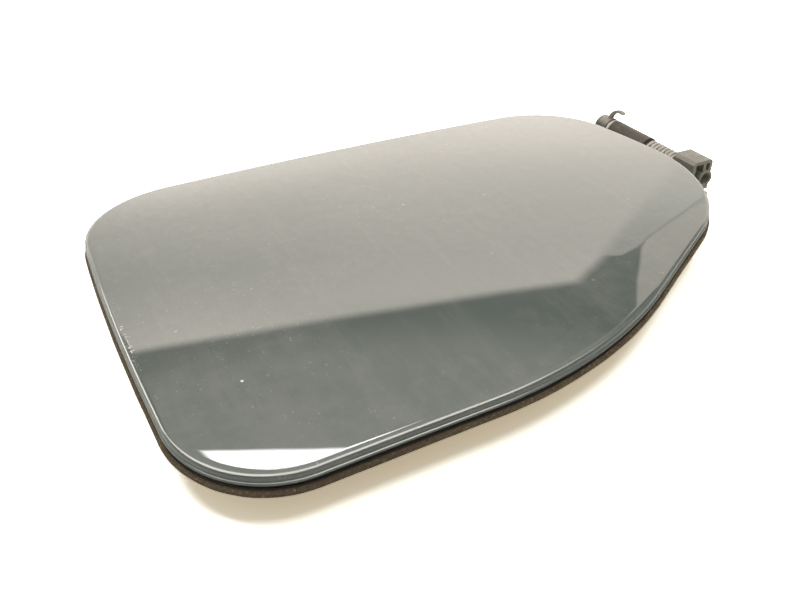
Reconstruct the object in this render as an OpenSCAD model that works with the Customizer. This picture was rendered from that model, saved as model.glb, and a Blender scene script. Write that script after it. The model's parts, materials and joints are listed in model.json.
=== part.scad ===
// Fuel door of a car: painted crowned skin on a moulded inner carrier, with its sprung hinge.
// The origin is the middle of the two screw holes, on the mounting face of the hinge bracket.
// +X points from the free end to the hinge end, +Y to the straight long edge, +Z out of the car.
// The door is drawn shut, and opens about the hinge axis, which runs along Y.

/* [Door skin] */
// Length of the door from the free end to the hinge end
door_len = 208; // [190:1:230]
// Width of the door across the long edges
door_w = 149.5; // [135:0.5:165]
// Thickness of the painted skin
skin_t = 2.4; // [1.8:0.1:2.6]
// Height of the folded edge of the skin
skin_edge_h = 3.6; // [3.2:0.1:4.2]
// Radius of the rounded crease round the skin
skin_crease_r = 1; // [0.8:0.1:1.8]
// How far the bead along the skin's lower edge stands out
skin_bead = 0.3; // [0.1:0.05:0.5]
// Crown radius along the length
crown_len_r = 3000; // [2400:100:5000]
// Crown radius across the width
crown_w_r = 900; // [700:50:1500]

/* [Outline] */
// Corner radius at the free end, on the side of the wheel arch
near_free_r = 28.5; // [20:0.5:34]
// Corner radius at the free end, on the straight side
far_free_r = 33; // [20:1:38]
// Corner radius at the hinge end, on the straight side
far_hinge_r = 31; // [20:1:38]
// Corner radius at the hinge end, on the side of the wheel arch
near_hinge_r = 57; // [40:1:62]
// Radius of the slight bow of the free end
free_end_r = 890; // [700:10:1500]
// Radius of the edge that follows the wheel arch
arch_r = 140; // [110:5:150]
// Angle at which that edge climbs to the hinge end
arch_angle = 29.4; // [27:0.2:32]
// Distance from the free end to where that edge would leave the long edge
arch_start = 111.4; // [105:0.2:118]
// How far the hinge end leans in towards the straight side
hinge_end_lean = 6.5; // [0:0.5:8]

/* [Hinge] */
// Hinge axis from the middle of the screw holes, along X
axis_x = 18.2; // [16:0.2:22]
// Hinge axis above the mounting face
axis_z = 10.1; // [9.7:0.1:11]
// Distance from the hinge axis to the edge of the door
axis_to_door = 9.2; // [8.5:0.1:12]
// Distance from the middle of the hinge to the middle of the door, along Y
hinge_offset = 29.3; // [20:0.1:32]
// Diameter of the hinge pin
pin_d = 4.6; // [4:0.1:5]
// Running clearance of the pin, on the radius
pin_fit = 0.06; // [0.03:0.01:0.1]
// Outer diameter of the round knuckles
knuckle_d = 8.6; // [8:0.1:9]
// Distance between the outer faces of the two door knuckles
hinge_span = 59.3; // [57:0.1:64]
// Length of the boxed ear near the wheel arch
ear_len = 10.7; // [9.5:0.1:12]
// Length of the round knuckle at the other end
far_knuckle_len = 6; // [5:0.5:8]
// Length of the bracket's own knuckle
bracket_knuckle_len = 20.5; // [16:0.5:22]
// Length of the arm's plate along X
arm_len = 48; // [44:1:52]
// Thickness of the spacer washer
washer_t = 1.4; // [1:0.1:2]
// Free play between turning faces
side_play = 0.3; // [0.2:0.05:0.4]

/* [Spring] */
// Diameter of the spring wire
wire_d = 1.3; // [1:0.1:1.4]
// Number of turns of the spring
spring_turns = 9; // [6:1:10]

/* [Bracket] */
// Thickness of the bracket's foot
foot_t = 2.5; // [2:0.1:3]
// Distance between the two screw holes
screw_pitch = 40; // [36:1:44]
// Diameter of the screw holes in the sleeves
screw_hole_d = 5.5; // [5:0.1:6.2]
// Length of the foot along X
foot_len = 38; // [34:1:40]

/* [Carrier] */
// Thickness of the carrier's walls
wall = 2; // [1.6:0.1:2.2]
// How far the carrier's wall stands in from the door's edge
carrier_inset = 1.2; // [1:0.1:2]
// How far the boxed middle stands in from the door's edge
pan_inset = 12; // [10:0.5:16]
// Height of the boxed middle's face above the mounting face
pan_z = 8.5; // [8.3:0.1:9]
// How far the rubber seal stands out past the door's edge
seal_out = 1.3; // [1:0.1:1.6]
// Height of the seal's lip
seal_lip_h = 1.3; // [1:0.1:1.8]
// Width of the stiffening ribs
rib_w = 1.6; // [1.2:0.1:2]

/* [Hidden] */
$fn = 64;

// Fits: a loose seat between two pieces, a moulded-in press, and the overshoot of an opening cut
seat = 0.15;
press = 0.02;
cut = 1;

// Door placement: its middle, and the top of its crown over the hinge axis and the mounting face
top_over_axis = 9.4;
door_x = axis_x - axis_to_door - door_len / 2;
door_y = -hinge_offset;
top_z = axis_z + top_over_axis;

// Layers of the door, all measured down from the crowned surface
carrier_top = skin_edge_h + seat;
carrier_bottom = carrier_top + wall + 0.2;
seal_top = skin_edge_h + 1.4;
seal_bottom = seal_top + seal_lip_h;

// Outline of the door as corners and corner radii, counter-clockwise round its own middle
half_len = door_len / 2;
half_w = door_w / 2;
bow_reach = half_w - max(near_free_r, far_free_r) - 1.5;
bow_turn = asin(bow_reach / free_end_r);
bow_end_x = -half_len + free_end_r * (1 - cos(bow_turn));
free_corner_x = bow_end_x + (half_w - bow_reach) * tan(bow_turn);
arch_x = arch_start - half_len;
hinge_corner_x = half_len + 2;
arch_end_y = -half_w + (hinge_corner_x - arch_x) * tan(arch_angle);
corners = [
    [free_corner_x, -half_w],
    [arch_x, -half_w],
    [hinge_corner_x, arch_end_y],
    [hinge_corner_x - hinge_end_lean, half_w],
    [free_corner_x, half_w],
    [bow_end_x - bow_reach * tan(bow_turn), 0],
];
corner_radii = [near_free_r, arch_r, near_hinge_r, far_hinge_r, far_free_r, free_end_r];
arc_sag = 0.08;
straight_step = 16;

function unit(v) = v / norm(v);

// Angle between two edges that meet at v
function turn(a, v, b) = acos(unit(v - a) * unit(b - v));

// Fraction t of the way from point p to point q
function part_way(p, q, t) = [p[0] + (q[0] - p[0]) * t, p[1] + (q[1] - p[1]) * t, p[2], p[3]];

// Rounded corner at v: points of the arc, each with its outward normal
function corner_arc(a, v, b, r) =
    let (
        d = unit(v - a),
        th = turn(a, v, b),
        c = v - d * r * tan(th / 2) + [-d[1], d[0]] * r,
        start = atan2(-d[0], d[1]),
        n = ceil(th / (2 * acos(1 - arc_sag / r)))
    )
    [for (i = [0:n]) let (q = start + th * i / n) [c[0] + r * cos(q), c[1] + r * sin(q), cos(q), sin(q)]];

// Points of a straight edge between two arcs
function straight(p, q) =
    let (n = floor(norm([q[0] - p[0], q[1] - p[1]]) / straight_step))
    [for (j = [1:1:n]) part_way(p, q, j / (n + 1))];

// Arcs that round the corners of v by the radii r
function corner_arcs(v, r) =
    let (m = len(v))
    [for (i = [0:m - 1]) corner_arc(v[(i + m - 1) % m], v[i], v[(i + 1) % m], r[i])];

// Closed outline with rounded corners
function rounded(v, r) =
    let (arcs = corner_arcs(v, r), m = len(v))
    [for (i = [0:m - 1]) each concat(arcs[i], straight(arcs[i][len(arcs[i]) - 1], arcs[(i + 1) % m][0]))];

// Outline moved in by d, as plain points
function inset(o, d) = [for (p = o) [p[0] - p[2] * d, p[1] - p[3] * d]];

// Rectangle with rounded corners, centred on c
function round_rect(c, l, w, r) =
    inset(rounded([
        [c[0] - l / 2, c[1] - w / 2],
        [c[0] + l / 2, c[1] - w / 2],
        [c[0] + l / 2, c[1] + w / 2],
        [c[0] - l / 2, c[1] + w / 2],
    ], [r, r, r, r]), 0);

outline = rounded(corners, corner_radii);
outline_arcs = corner_arcs(corners, corner_radii);

// Place beside corner k of the outline, at share t of its arc and in by d
function beside_corner(k, t, d) =
    let (p = outline_arcs[k][round(t * (len(outline_arcs[k]) - 1))]) [p[0] - p[2] * d, p[1] - p[3] * d];

// Height of the crowned surface at a point measured from the door's middle
function crown(x, y) = top_z - x * x / (2 * crown_len_r) - y * y / (2 * crown_w_r);

// Ring round the door: in by d, drawn towards the middle by share s, and dropped by h
function ring(d, h, s = 1) =
    [for (p = inset(outline, d)) [door_x + p[0] * s, door_y + p[1] * s, crown(p[0] * s, p[1] * s) - h]];

// Closed surface through rings of equal length, shut by a fan at each end
module lofted(first, rings, last) {
    n = len(rings[0]);
    k = len(rings);
    polyhedron(
        points = concat([first], [for (r = rings) each r], [last]),
        faces = concat(
            [for (i = [0:n - 1]) [0, 1 + (i + 1) % n, 1 + i]],
            [for (j = [0:k - 2], i = [0:n - 1]) let (a = 1 + j * n + i, b = 1 + j * n + (i + 1) % n)
                each [[a, b, b + n], [a, b + n, a + n]]],
            [for (i = [0:n - 1]) [1 + k * n, 1 + (k - 1) * n + i, 1 + (k - 1) * n + (i + 1) % n]]
        )
    );
}

// Closed band that runs round the door, from section points of inset and drop
module band(section) {
    n = len(outline);
    k = len(section);
    polyhedron(
        points = [for (s = section) each ring(s[0], s[1])],
        faces = [for (j = [0:k - 1], i = [0:n - 1])
            let (here = j * n, next = ((j + 1) % k) * n, ii = (i + 1) % n)
            each [[here + i, here + ii, next + ii], [here + i, next + ii, next + i]]]
    );
}

// Everything below the crowned surface dropped by h
module under_crown(h) {
    slab = 30;
    sweep = 5;
    translate([door_x, door_y, top_z - h - crown_len_r])
        rotate([-90, 0, 0])
            rotate([0, 0, -90 - sweep / 2])
                rotate_extrude(angle = sweep, $fn = 720)
                    intersection() {
                        translate([crown_len_r - crown_w_r, 0]) circle(r = crown_w_r, $fn = 720);
                        translate([crown_len_r - slab, -door_w]) square([slab + cut, 2 * door_w]);
                    }
}

// Upright block on the door's outline, in by d, between two heights
module door_block(d, z0, z1)
    translate([door_x, door_y, z0])
        linear_extrude(height = z1 - z0) polygon(inset(outline, d));

// The boxed middle is divided by ribs into cells, which carry the studs and the peg
pan_inner = pan_inset + wall;
cell_x = (door_len - 2 * pan_inner) / 5;
cell_y = (door_w - 2 * pan_inner) / 4;
function cell(i, j) = [i * cell_x, j * cell_y];

// Places on the door, measured from its middle
stud_places = [cell(-2, -1.5), cell(-2, 1.5), cell(0, 1.5), cell(1, 1.5), cell(0, -1.5), cell(2, -0.5)];
peg_at = cell(-0.5, 0.5) + [-4, 0];
drains = [cell(-1, -1.5), cell(-1, 1.5), cell(1, -0.5), cell(1, 0.5)];
drain_r = 1.8;
nut_d = 9;
nut_t = 0.8;

// Screws: those of the striker stand beside its tongue, those of the arm near the corners of its plate
screw_d = 3.5;
screw_head_d = 6.6;
screw_head_t = 2;
screw_bite = wall + 1;
screw_tip = 1.2;
cross_l = 3.6;
cross_w = 0.9;
cross_h = 1.2;
tongue_w = 22;
striker_base_l = 18;
striker_at = [pan_inner + striker_base_l / 2 + 1 - half_len, 0];
striker_screw_y = (tongue_w + screw_head_d) / 2 + 0.7;
striker_screws = [for (s = [-1, 1]) striker_at + [0, s * striker_screw_y]];
arm_gap = 10;
arm_x1 = axis_x - arm_gap;
arm_x0 = arm_x1 - arm_len;
arm_edge = 7;
arm_overhang = 20;
arm_screw_y = hinge_span / 2 - arm_edge;
arm_screws = [for (x = [arm_x0 + arm_edge, arm_x1 - arm_overhang], s = [-1, 1]) [x, s * arm_screw_y]];

// Rubber stops on the flange: three in corners, one on the straight side next to the arm
buffer_d = 7;
buffer_neck_d = 3.6;
buffer_h = 5;
seal_hook = wall + 1;
seal_grip = carrier_inset - seat;
flange_mid = (seal_grip + seal_hook + pan_inset) / 2;
buffer_places = concat(
    [for (k = [0, 4, 1]) beside_corner(k, 0.5, flange_mid)],
    [[arm_x0 - buffer_d - door_x, half_w - flange_mid]]
);

// Skin

stud_d = 3;
stud_end = 2.2;
inner_shares = [0.8, 0.6, 0.4, 0.2];
crease_steps = 4;

module outer_skin() color([0.30, 0.33, 0.33]) {
    crease = [for (i = [0:crease_steps]) let (q = 90 * i / crease_steps)
        [skin_crease_r * (1 - cos(q)), skin_crease_r * (1 - sin(q))]];
    lip = 0.4;
    bead = [
        [lip - skin_bead, skin_edge_h],
        [-skin_bead, skin_edge_h - lip],
        [-skin_bead, skin_edge_h - 2 * lip],
        [0, skin_edge_h - 3 * lip],
    ];
    outer = concat(bead, crease);
    inner = [[skin_t, skin_edge_h], [skin_t, skin_t + lip], [skin_t + lip, skin_t]];
    last = len(inner) - 1;
    lofted(
        [door_x, door_y, top_z],
        concat(
            [for (i = [len(inner_shares) - 1:-1:0]) ring(skin_crease_r, 0, inner_shares[i])],
            [for (i = [len(outer) - 1:-1:0]) ring(outer[i][0], outer[i][1])],
            [for (s = inner) ring(s[0], s[1])],
            [for (s = inner_shares) ring(inner[last][0], skin_t, s)]
        ),
        [door_x, door_y, top_z - skin_t]
    );
    for (p = stud_places) skin_stud(p);
}

// Stud under the skin that passes through the carrier and takes a push nut
module skin_stud(p) {
    root = crown(p[0], p[1]) - skin_t / 2;
    tip = pan_z - stud_end;
    shoulder = pan_z + wall + seat;
    translate([door_x + p[0], door_y + p[1], 0]) {
        translate([0, 0, tip]) cylinder(d = stud_d, h = root - tip);
        translate([0, 0, shoulder]) cylinder(d = 2 * stud_d, h = root - shoulder);
    }
}

// Carrier

pad_r = 5.5;

module inner_carrier() color([0.08, 0.08, 0.08])
    difference() {
        intersection() {
            under_crown(carrier_top);
            union() {
                difference() {
                    door_block(carrier_inset, 0, top_z);
                    under_crown(carrier_bottom);
                }
                door_block(pan_inset, pan_z, top_z);
                floor_rims();
            }
        }
        translate([door_x, door_y, pan_z + wall])
            linear_extrude(height = top_z) difference() {
                polygon(inset(outline, pan_inner));
                carrier_ribs();
            }
        for (p = stud_places) floor_hole(p, stud_d / 2 + seat, wall + cut);
        for (p = arm_screws) floor_hole(p - [door_x, door_y], screw_d / 2 + seat, screw_bite + screw_tip);
        for (p = striker_screws) floor_hole(p, screw_d / 2 + seat, screw_bite + screw_tip);
        floor_hole(peg_at, peg_neck_d / 2 + seat, wall + cut);
        for (p = drains) floor_hole(p, drain_r, wall + cut);
        for (p = buffer_places) translate([door_x + p[0], door_y + p[1], 0])
            cylinder(r = buffer_neck_d / 2 + seat, h = top_z);
    }

// Plan of the boxed middle, in by d from its own edge
module pan_plan(d) translate([door_x, door_y]) polygon(inset(outline, pan_inset + d));

// Low rims under the boxed middle: one round its edge, one that locates the arm's plate
module floor_rims() {
    rim_h = 1;
    translate([0, 0, pan_z - rim_h])
        linear_extrude(height = rim_h + wall) difference() {
            pan_plan(0);
            difference() {
                pan_plan(1.5 * rib_w);
                arm_plan(2 * seat + rib_w);
            }
            arm_plan(2 * seat);
            for (p = stud_places) translate(p + [door_x, door_y]) circle(r = nut_d / 2 + 2 * seat);
        }
}

// Hole up into the floor of the boxed middle, at a place on the door
module floor_hole(p, r, depth)
    translate([door_x + p[0], door_y + p[1], pan_z - cut]) cylinder(r = r, h = depth + cut);

// Plan of the crossed ribs in the boxed middle, and of the pads that carry the screws
module carrier_ribs() {
    for (i = [-1.5:1:1.5]) translate([i * cell_x - rib_w / 2, -half_w]) square([rib_w, door_w]);
    for (j = [-1:1:1]) translate([-half_len, j * cell_y - rib_w / 2]) square([door_len, rib_w]);
    for (p = arm_screws) translate([p[0] - door_x, p[1] - door_y]) circle(r = pad_r);
    for (p = striker_screws) translate(p) circle(r = pad_r);
}

// Seal

module rim_seal() color([0.33, 0.27, 0.21]) {
    floor_h = carrier_bottom + seat;
    hook_t = 0.8;
    round_r = seal_lip_h / 3;
    band([
        [seal_grip, seal_top],
        [-seal_out + round_r, seal_top],
        [-seal_out, seal_top + round_r],
        [-seal_out, seal_bottom - round_r],
        [-seal_out + round_r, seal_bottom],
        [seal_grip, floor_h + hook_t],
        [seal_grip + seal_hook, floor_h + hook_t],
        [seal_grip + seal_hook, floor_h],
        [seal_grip, floor_h],
    ]);
}

// Hinge arm

arm_t = 3;
arm_z = pan_z - arm_t;
arm_corner_r = 5;
arm_slot_l = 18;
arm_slot_w = 7;
arm_slot_y = 9;
near_y = -hinge_span / 2;
far_y = hinge_span / 2;
bore_r = pin_d / 2 + pin_fit;
knuckle_r = knuckle_d / 2;
ear_wall = 1.3;
ear_right = 2.6;
ear_left = axis_x - 6.7;
ear_top = top_z - 2;
ring_t = 0.9;

module hinge_arm() color([0.10, 0.10, 0.095])
    difference() {
        union() {
            translate([0, 0, arm_z]) linear_extrude(height = arm_t) arm_plan(0);
            near_ear();
            far_knuckle();
            arm_ribs();
        }
        along_axis(near_y - cut, hinge_span + 2 * cut) circle(r = bore_r);
        for (p = arm_screws) translate([p[0], p[1], arm_z - cut])
            cylinder(d = screw_d + 2 * seat, h = arm_t + 2 * cut);
        ear_pockets();
        spring_hole();
        for (s = [-1, 1]) arm_slot(s * arm_slot_y);
    }

// Plan of the arm's plate, grown by d
module arm_plan(d)
    polygon(round_rect([(arm_x0 + arm_x1) / 2, 0], arm_len + 2 * d, hinge_span + 2 * d, arm_corner_r + d));

// Extrusion along the hinge axis from y0, with the section drawn round the axis in X and Z
module along_axis(y0, l)
    translate([axis_x, y0 + l, axis_z]) rotate([90, 0, 0]) linear_extrude(height = l) children();

// Boxed ear beside the door's edge, with its neck to the arm's plate and a ring round the pin's hole
module near_ear() {
    r = 1.4;
    bevel = 1.6;
    left = ear_left - axis_x;
    top = ear_top - axis_z;
    neck = 4;
    along_axis(near_y, ear_len) {
        difference() {
            translate([left, arm_z - axis_z]) square([ear_right - left, top - arm_z + axis_z]);
            translate([ear_right - r, top - r]) difference() {
                square([r + cut, r + cut]);
                circle(r = r);
            }
            translate([left, top]) rotate(45) square(bevel, center = true);
        }
        translate([-arm_gap - neck, arm_z - axis_z]) square([left + arm_gap + neck + cut, arm_t]);
    }
    along_axis(near_y - ring_t / 2, ear_len) circle(r = bore_r + ring_t);
}

// Pockets that core the ear from its near face, left and right of an upright rib
module ear_pockets() {
    left = ear_left - axis_x + ear_wall;
    right = ear_right - ear_wall;
    floor_z = arm_z - axis_z + arm_t / 2;
    top = ear_top - axis_z - ear_wall;
    rib_x = -ear_wall - 0.3;
    along_axis(near_y - cut, ear_len - 2 * ear_wall + cut) difference() {
        translate([left, floor_z]) square([right - left, top - floor_z]);
        translate([rib_x, floor_z]) square([ear_wall, top - floor_z]);
        circle(r = bore_r + ring_t);
        translate([rib_x, floor_z]) square([right - rib_x, -floor_z]);
    }
}

// Round knuckle at the far end, its neck and the curved finger that stands over the spacer
module far_knuckle() {
    y0 = far_y - far_knuckle_len;
    along_axis(y0, far_knuckle_len) {
        circle(r = knuckle_r);
        translate([-arm_gap - arm_t, arm_z - axis_z]) square([arm_gap + arm_t, arm_t]);
    }
    finger();
}

finger_w = 1.8;
finger_r = 6;
finger_t = 0.8;
finger_tip = 5.8;

// Curved finger, a crescent between two circles: it rises beside the spacer and leans over it
module finger() {
    y0 = far_y - far_knuckle_len;
    low = axis_z + knuckle_r - finger_t;
    back = y0 + 2.3;
    translate([axis_x - finger_w / 2, 0, 0]) rotate([90, 0, 90]) linear_extrude(height = finger_w)
        difference() {
            translate([back - finger_r, low - 0.3]) circle(r = finger_r);
            translate([back - finger_r - 0.9 * finger_t, low - 0.3 - finger_t / 2])
                circle(r = finger_r - finger_t / 2);
            translate([back - 3 * finger_r, low - 2 * finger_r]) square([4 * finger_r, 2 * finger_r]);
            translate([y0 - finger_tip - 2 * finger_r, low - cut]) square(2 * finger_r);
        }
}

// Ribs under the arm's plate
module arm_ribs() {
    h = 1.6;
    for (y = [near_y + rib_w, near_y + ear_len + rib_w, far_y - rib_w])
        translate([arm_x0 + arm_edge, y - rib_w / 2, arm_z - h]) cube([arm_len - arm_edge, rib_w, h + 0.2]);
}

// Slot that lightens the arm's plate
module arm_slot(y) translate([0, 0, arm_z - cut])
    linear_extrude(height = arm_t + 2 * cut)
        polygon(round_rect([(arm_x0 + arm_x1) / 2 - 2, y], arm_slot_l, arm_slot_w, arm_slot_w / 2 - 0.1));

spring_r = pin_d / 2 + 0.35 + wire_d / 2;
tang_len = 4;

// Hole in the ear for the tang of the spring
module spring_hole() translate([axis_x, 0, axis_z + spring_r])
    translate([0, near_y + ear_len + cut, 0]) rotate([90, 0, 0])
        cylinder(d = wire_d + 2 * seat, h = tang_len + cut, $fn = 24);

// Bracket

bracket_y1 = far_y - far_knuckle_len - 2 * side_play - washer_t;
bracket_y0 = bracket_y1 - bracket_knuckle_len;
foot_x0 = axis_x + 5.3 - foot_len;
foot_x1 = axis_x + 5.3;
foot_w = hinge_span - 0.6;
foot_corner_r = 2;
sleeve_t = 1.2;
sleeve_r = screw_hole_d / 2 + sleeve_t;
boss_wall = 2;
boss_h = foot_t + 1;
web_t = 5;

module hinge_bracket() color([0.09, 0.09, 0.09])
    difference() {
        union() {
            linear_extrude(height = foot_t)
                polygon(round_rect([(foot_x0 + foot_x1) / 2, 0], foot_len, foot_w, foot_corner_r));
            for (s = [-1, 1]) translate([0, s * screw_pitch / 2, 0])
                cylinder(r = sleeve_r + boss_wall, h = boss_h);
            along_axis(bracket_y0, bracket_knuckle_len) {
                circle(r = knuckle_r);
                translate([-web_t / 2, -axis_z + foot_t / 2]) square([web_t, axis_z - foot_t / 2]);
            }
            bracket_gussets();
            spring_post();
        }
        along_axis(bracket_y0 - cut, bracket_knuckle_len + 2 * cut) circle(r = bore_r);
        for (s = [-1, 1]) translate([0, s * screw_pitch / 2, -cut])
            cylinder(r = sleeve_r + press, h = boss_h + 2 * cut);
    }

// Sloped gussets behind the web
module bracket_gussets() {
    reach = 13;
    shoulder = 8;
    top = arm_z - 0.8;
    root = web_t / 2 - 0.5;
    for (y = [bracket_y0, bracket_y1 - rib_w])
        translate([axis_x, y + rib_w, 0]) rotate([90, 0, 0]) linear_extrude(height = rib_w)
            polygon([
                [-reach, foot_t / 2],
                [-reach, foot_t],
                [-shoulder, top],
                [-root, top],
                [-root, foot_t / 2],
            ]);
}

// Post on the foot that the spring's long leg rests against
module spring_post() {
    l = 5;
    t = 2;
    above = 2.4;
    back = 17.5;
    translate([axis_x - back, leg_y - wire_d / 2 - seat - t, foot_t / 2]) cube([l, t, foot_t / 2 + above]);
}

module bracket_sleeve(s) color([0.62, 0.62, 0.6])
    translate([0, s * screw_pitch / 2, 0])
        difference() {
            cylinder(r = sleeve_r, h = boss_h);
            translate([0, 0, -cut]) cylinder(d = screw_hole_d, h = boss_h + 2 * cut);
        }

// Pin and washer

pin_recess = 2.2;
pin_head_d = 6.8;
pin_head_t = 1.6;

module hinge_pin() color([0.62, 0.6, 0.57])
    translate([axis_x, far_y + side_play / 2, axis_z]) rotate([90, 0, 0]) {
        l = hinge_span + side_play / 2 - pin_recess;
        cylinder(d = pin_d, h = l - 0.8);
        translate([0, 0, l - 0.8]) cylinder(d1 = pin_d, d2 = pin_d - 1.6, h = 0.8);
        translate([0, 0, -pin_head_t]) cylinder(d1 = pin_head_d - 1.6, d2 = pin_head_d, h = pin_head_t);
    }

module spacer_washer() color([0.75, 0.74, 0.68])
    along_axis(bracket_y1 + side_play, washer_t) difference() {
        circle(r = knuckle_r - 0.2);
        circle(r = bore_r + 0.1);
    }

// Spring: a close coil round the pin, one tang in the ear and one leg on the foot

coil_y0 = near_y + ear_len + side_play + wire_d / 2;
coil_y1 = bracket_y0 - side_play - wire_d / 2;
leg_y = coil_y1;
leg_z = foot_t + wire_d / 2;
leg_len = 19;
wire_sides = 8;
turn_steps = 18;

// Wire path: tang along the axis, helix, then the leg bent down to the foot
coil_pitch = (coil_y1 - coil_y0) / (spring_turns + 0.5);
tang_y0 = coil_y0 - wire_d / 2 - tang_len + side_play;
function coil_point(t) = let (q = 90 - 360 * t)
    [axis_x + spring_r * cos(q), coil_y0 + coil_pitch * t, axis_z + spring_r * sin(q)];
spring_path = concat(
    [for (i = [0:3]) [axis_x, tang_y0 + (tang_len * i) / 4, axis_z + spring_r]],
    [for (i = [0:turn_steps * (spring_turns + 0.5)]) coil_point(i / turn_steps)],
    [for (p = [[-4, 0.5], [-8, 0.88], [-10.5, 1], [-leg_len, 1]])
        [axis_x + p[0], leg_y, axis_z - spring_r + (leg_z - axis_z + spring_r) * p[1]]]
);

// Closed tube of n sides along a path, its sections square to the path
module tube(path, r, n) {
    m = len(path);
    dirs = [for (i = [0:m - 1]) unit(path[min(i + 1, m - 1)] - path[max(i - 1, 0)])];
    side = [for (d = dirs)
        let (a = unit(cross(d, abs(d[1]) > 0.8 ? [1, 0, 0] : [0, 1, 0])))
        [a, cross(d, a)]];
    polyhedron(
        points = [for (i = [0:m - 1], k = [0:n - 1])
            path[i] + r * (side[i][0] * cos(360 * k / n) + side[i][1] * sin(360 * k / n))],
        faces = concat(
            [[for (k = [0:n - 1]) k]],
            [[for (k = [n - 1:-1:0]) (m - 1) * n + k]],
            [for (i = [0:m - 2], k = [0:n - 1]) let (a = i * n + k, b = i * n + (k + 1) % n)
                each [[a, a + n, b + n], [a, b + n, b]]]
        )
    );
}

module torsion_spring() color([0.55, 0.5, 0.44]) tube(spring_path, wire_d / 2, wire_sides);

// Striker

striker_t = 2;
striker_pad_r = 6;
striker_base_w = 2 * (striker_screw_y + striker_pad_r);
tongue_t = 3;
nose = 3;
brace = 7.5;

module latch_striker() color([0.12, 0.12, 0.12]) {
    x = door_x + striker_at[0];
    y = door_y + striker_at[1];
    base_z = pan_z - striker_t;
    difference() {
        translate([0, 0, base_z]) linear_extrude(height = striker_t)
            polygon(round_rect([x, y], striker_base_l, striker_base_w, 5));
        for (p = striker_screws) translate([door_x + p[0], door_y + p[1], base_z - cut])
            cylinder(d = screw_d + 2 * seat, h = striker_t + 2 * cut);
    }
    root_z = base_z + 0.5;
    translate([x, y + tongue_w / 2, 0]) rotate([90, 0, 0]) linear_extrude(height = tongue_w)
        polygon([
            [-tongue_t / 2, root_z],
            [-tongue_t / 2, 0.6],
            [-tongue_t / 2 + 0.6, 0],
            [tongue_t / 2, 0],
            [tongue_t / 2 + nose, 2.2],
            [tongue_t / 2 + nose, 3],
            [tongue_t / 2, 3.4],
            [tongue_t / 2, root_z],
        ]);
    for (s = [-1, 1])
        translate([x, y + s * (tongue_w - rib_w) / 2 + rib_w / 2, 0])
            rotate([90, 0, 0]) linear_extrude(height = rib_w)
                polygon([
                    [-tongue_t / 2 + 0.5, 1.6],
                    [-tongue_t / 2 + 0.5, root_z],
                    [-brace, root_z],
                    [-brace, base_z],
                ]);
}

// Screws, buffers, peg and push nuts

// Pan head screw driven upwards at p, seated under the face at z, with a thread of length l
module self_tapper(p, z, l) color([0.35, 0.35, 0.34])
    translate([p[0], p[1], z - seat / 3]) {
        difference() {
            translate([0, 0, -screw_head_t])
                cylinder(d1 = screw_head_d - 1.4, d2 = screw_head_d, h = screw_head_t);
            for (a = [0, 90]) rotate([0, 0, a])
                translate([0, 0, -screw_head_t]) cube([cross_l, cross_w, 2 * cross_h], center = true);
        }
        cylinder(d = screw_d, h = l);
        translate([0, 0, l]) cylinder(d1 = screw_d, d2 = 1, h = screw_tip);
    }

module arm_screw(i) self_tapper(arm_screws[i], arm_z, arm_t + screw_bite);

module striker_screw(i)
    self_tapper(striker_screws[i] + [door_x, door_y], pan_z - striker_t, striker_t + screw_bite);

// Rubber stop pushed into the carrier's flange, with a domed foot
module buffer(i) color([0.05, 0.05, 0.05]) {
    p = buffer_places[i];
    under = crown(p[0], p[1]) - carrier_bottom;
    lean = 0.45;
    dome = 1.6;
    translate([door_x + p[0], door_y + p[1], under - lean - buffer_h])
        rotate_extrude() {
            difference() {
                square([buffer_d / 2, buffer_h]);
                translate([buffer_d / 2 - dome, -cut]) difference() {
                    square([dome + cut, dome + cut]);
                    translate([0, dome + cut]) circle(r = dome);
                }
            }
            square([buffer_neck_d / 2, buffer_h + wall + lean + 0.8]);
        }
}

peg_neck_d = 4.4;
peg_head_d = 10;
peg_flange_d = 14;
peg_flange_t = 1.2;
peg_reach = 7.4;

// Turned peg that keeps the filler cap's tether
module tether_peg() color([0.1, 0.1, 0.1])
    translate([door_x + peg_at[0], door_y + peg_at[1], pan_z])
        rotate_extrude() {
            translate([0, -peg_flange_t - seat]) square([peg_flange_d / 2, peg_flange_t]);
            translate([0, -peg_reach + cut]) square([peg_neck_d / 2 + 0.6, peg_reach - cut]);
            translate([0, -peg_reach]) square([peg_head_d / 2 - 0.6, 1.8]);
            translate([0, -peg_reach + 0.6]) square([peg_head_d / 2, 1.2]);
            square([peg_neck_d / 2, wall + 0.6]);
        }

// Push nut: a dished spring disc with a raised rim, gripping the skin's stud
module push_nut(i) color([0.5, 0.5, 0.48]) {
    p = stud_places[i];
    translate([door_x + p[0], door_y + p[1], pan_z - seat / 2 - nut_t - 0.5])
        rotate_extrude()
            polygon([[stud_d / 2 + 0.03, 0], [stud_d / 2 + 0.7, 0], [nut_d / 2 - 1.2, 0.5], [nut_d / 2, 0.5],
                [nut_d / 2, 0.5 + nut_t], [nut_d / 2 - 1.4, 0.5 + nut_t], [stud_d / 2 + 0.03, nut_t]]);
}

outer_skin();
inner_carrier();
rim_seal();
hinge_arm();
hinge_bracket();
hinge_pin();
torsion_spring();
spacer_washer();
latch_striker();
tether_peg();
bracket_sleeve(-1);  // bracket_sleeve_1
bracket_sleeve(1);  // bracket_sleeve_2
arm_screw(0);  // arm_screw_1
arm_screw(1);  // arm_screw_2
arm_screw(2);  // arm_screw_3
arm_screw(3);  // arm_screw_4
striker_screw(0);  // striker_screw_1
striker_screw(1);  // striker_screw_2
buffer(0);  // buffer_1
buffer(1);  // buffer_2
buffer(2);  // buffer_3
buffer(3);  // buffer_4
push_nut(0);  // push_nut_1
push_nut(1);  // push_nut_2
push_nut(2);  // push_nut_3
push_nut(3);  // push_nut_4
push_nut(4);  // push_nut_5
push_nut(5);  // push_nut_6
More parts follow.
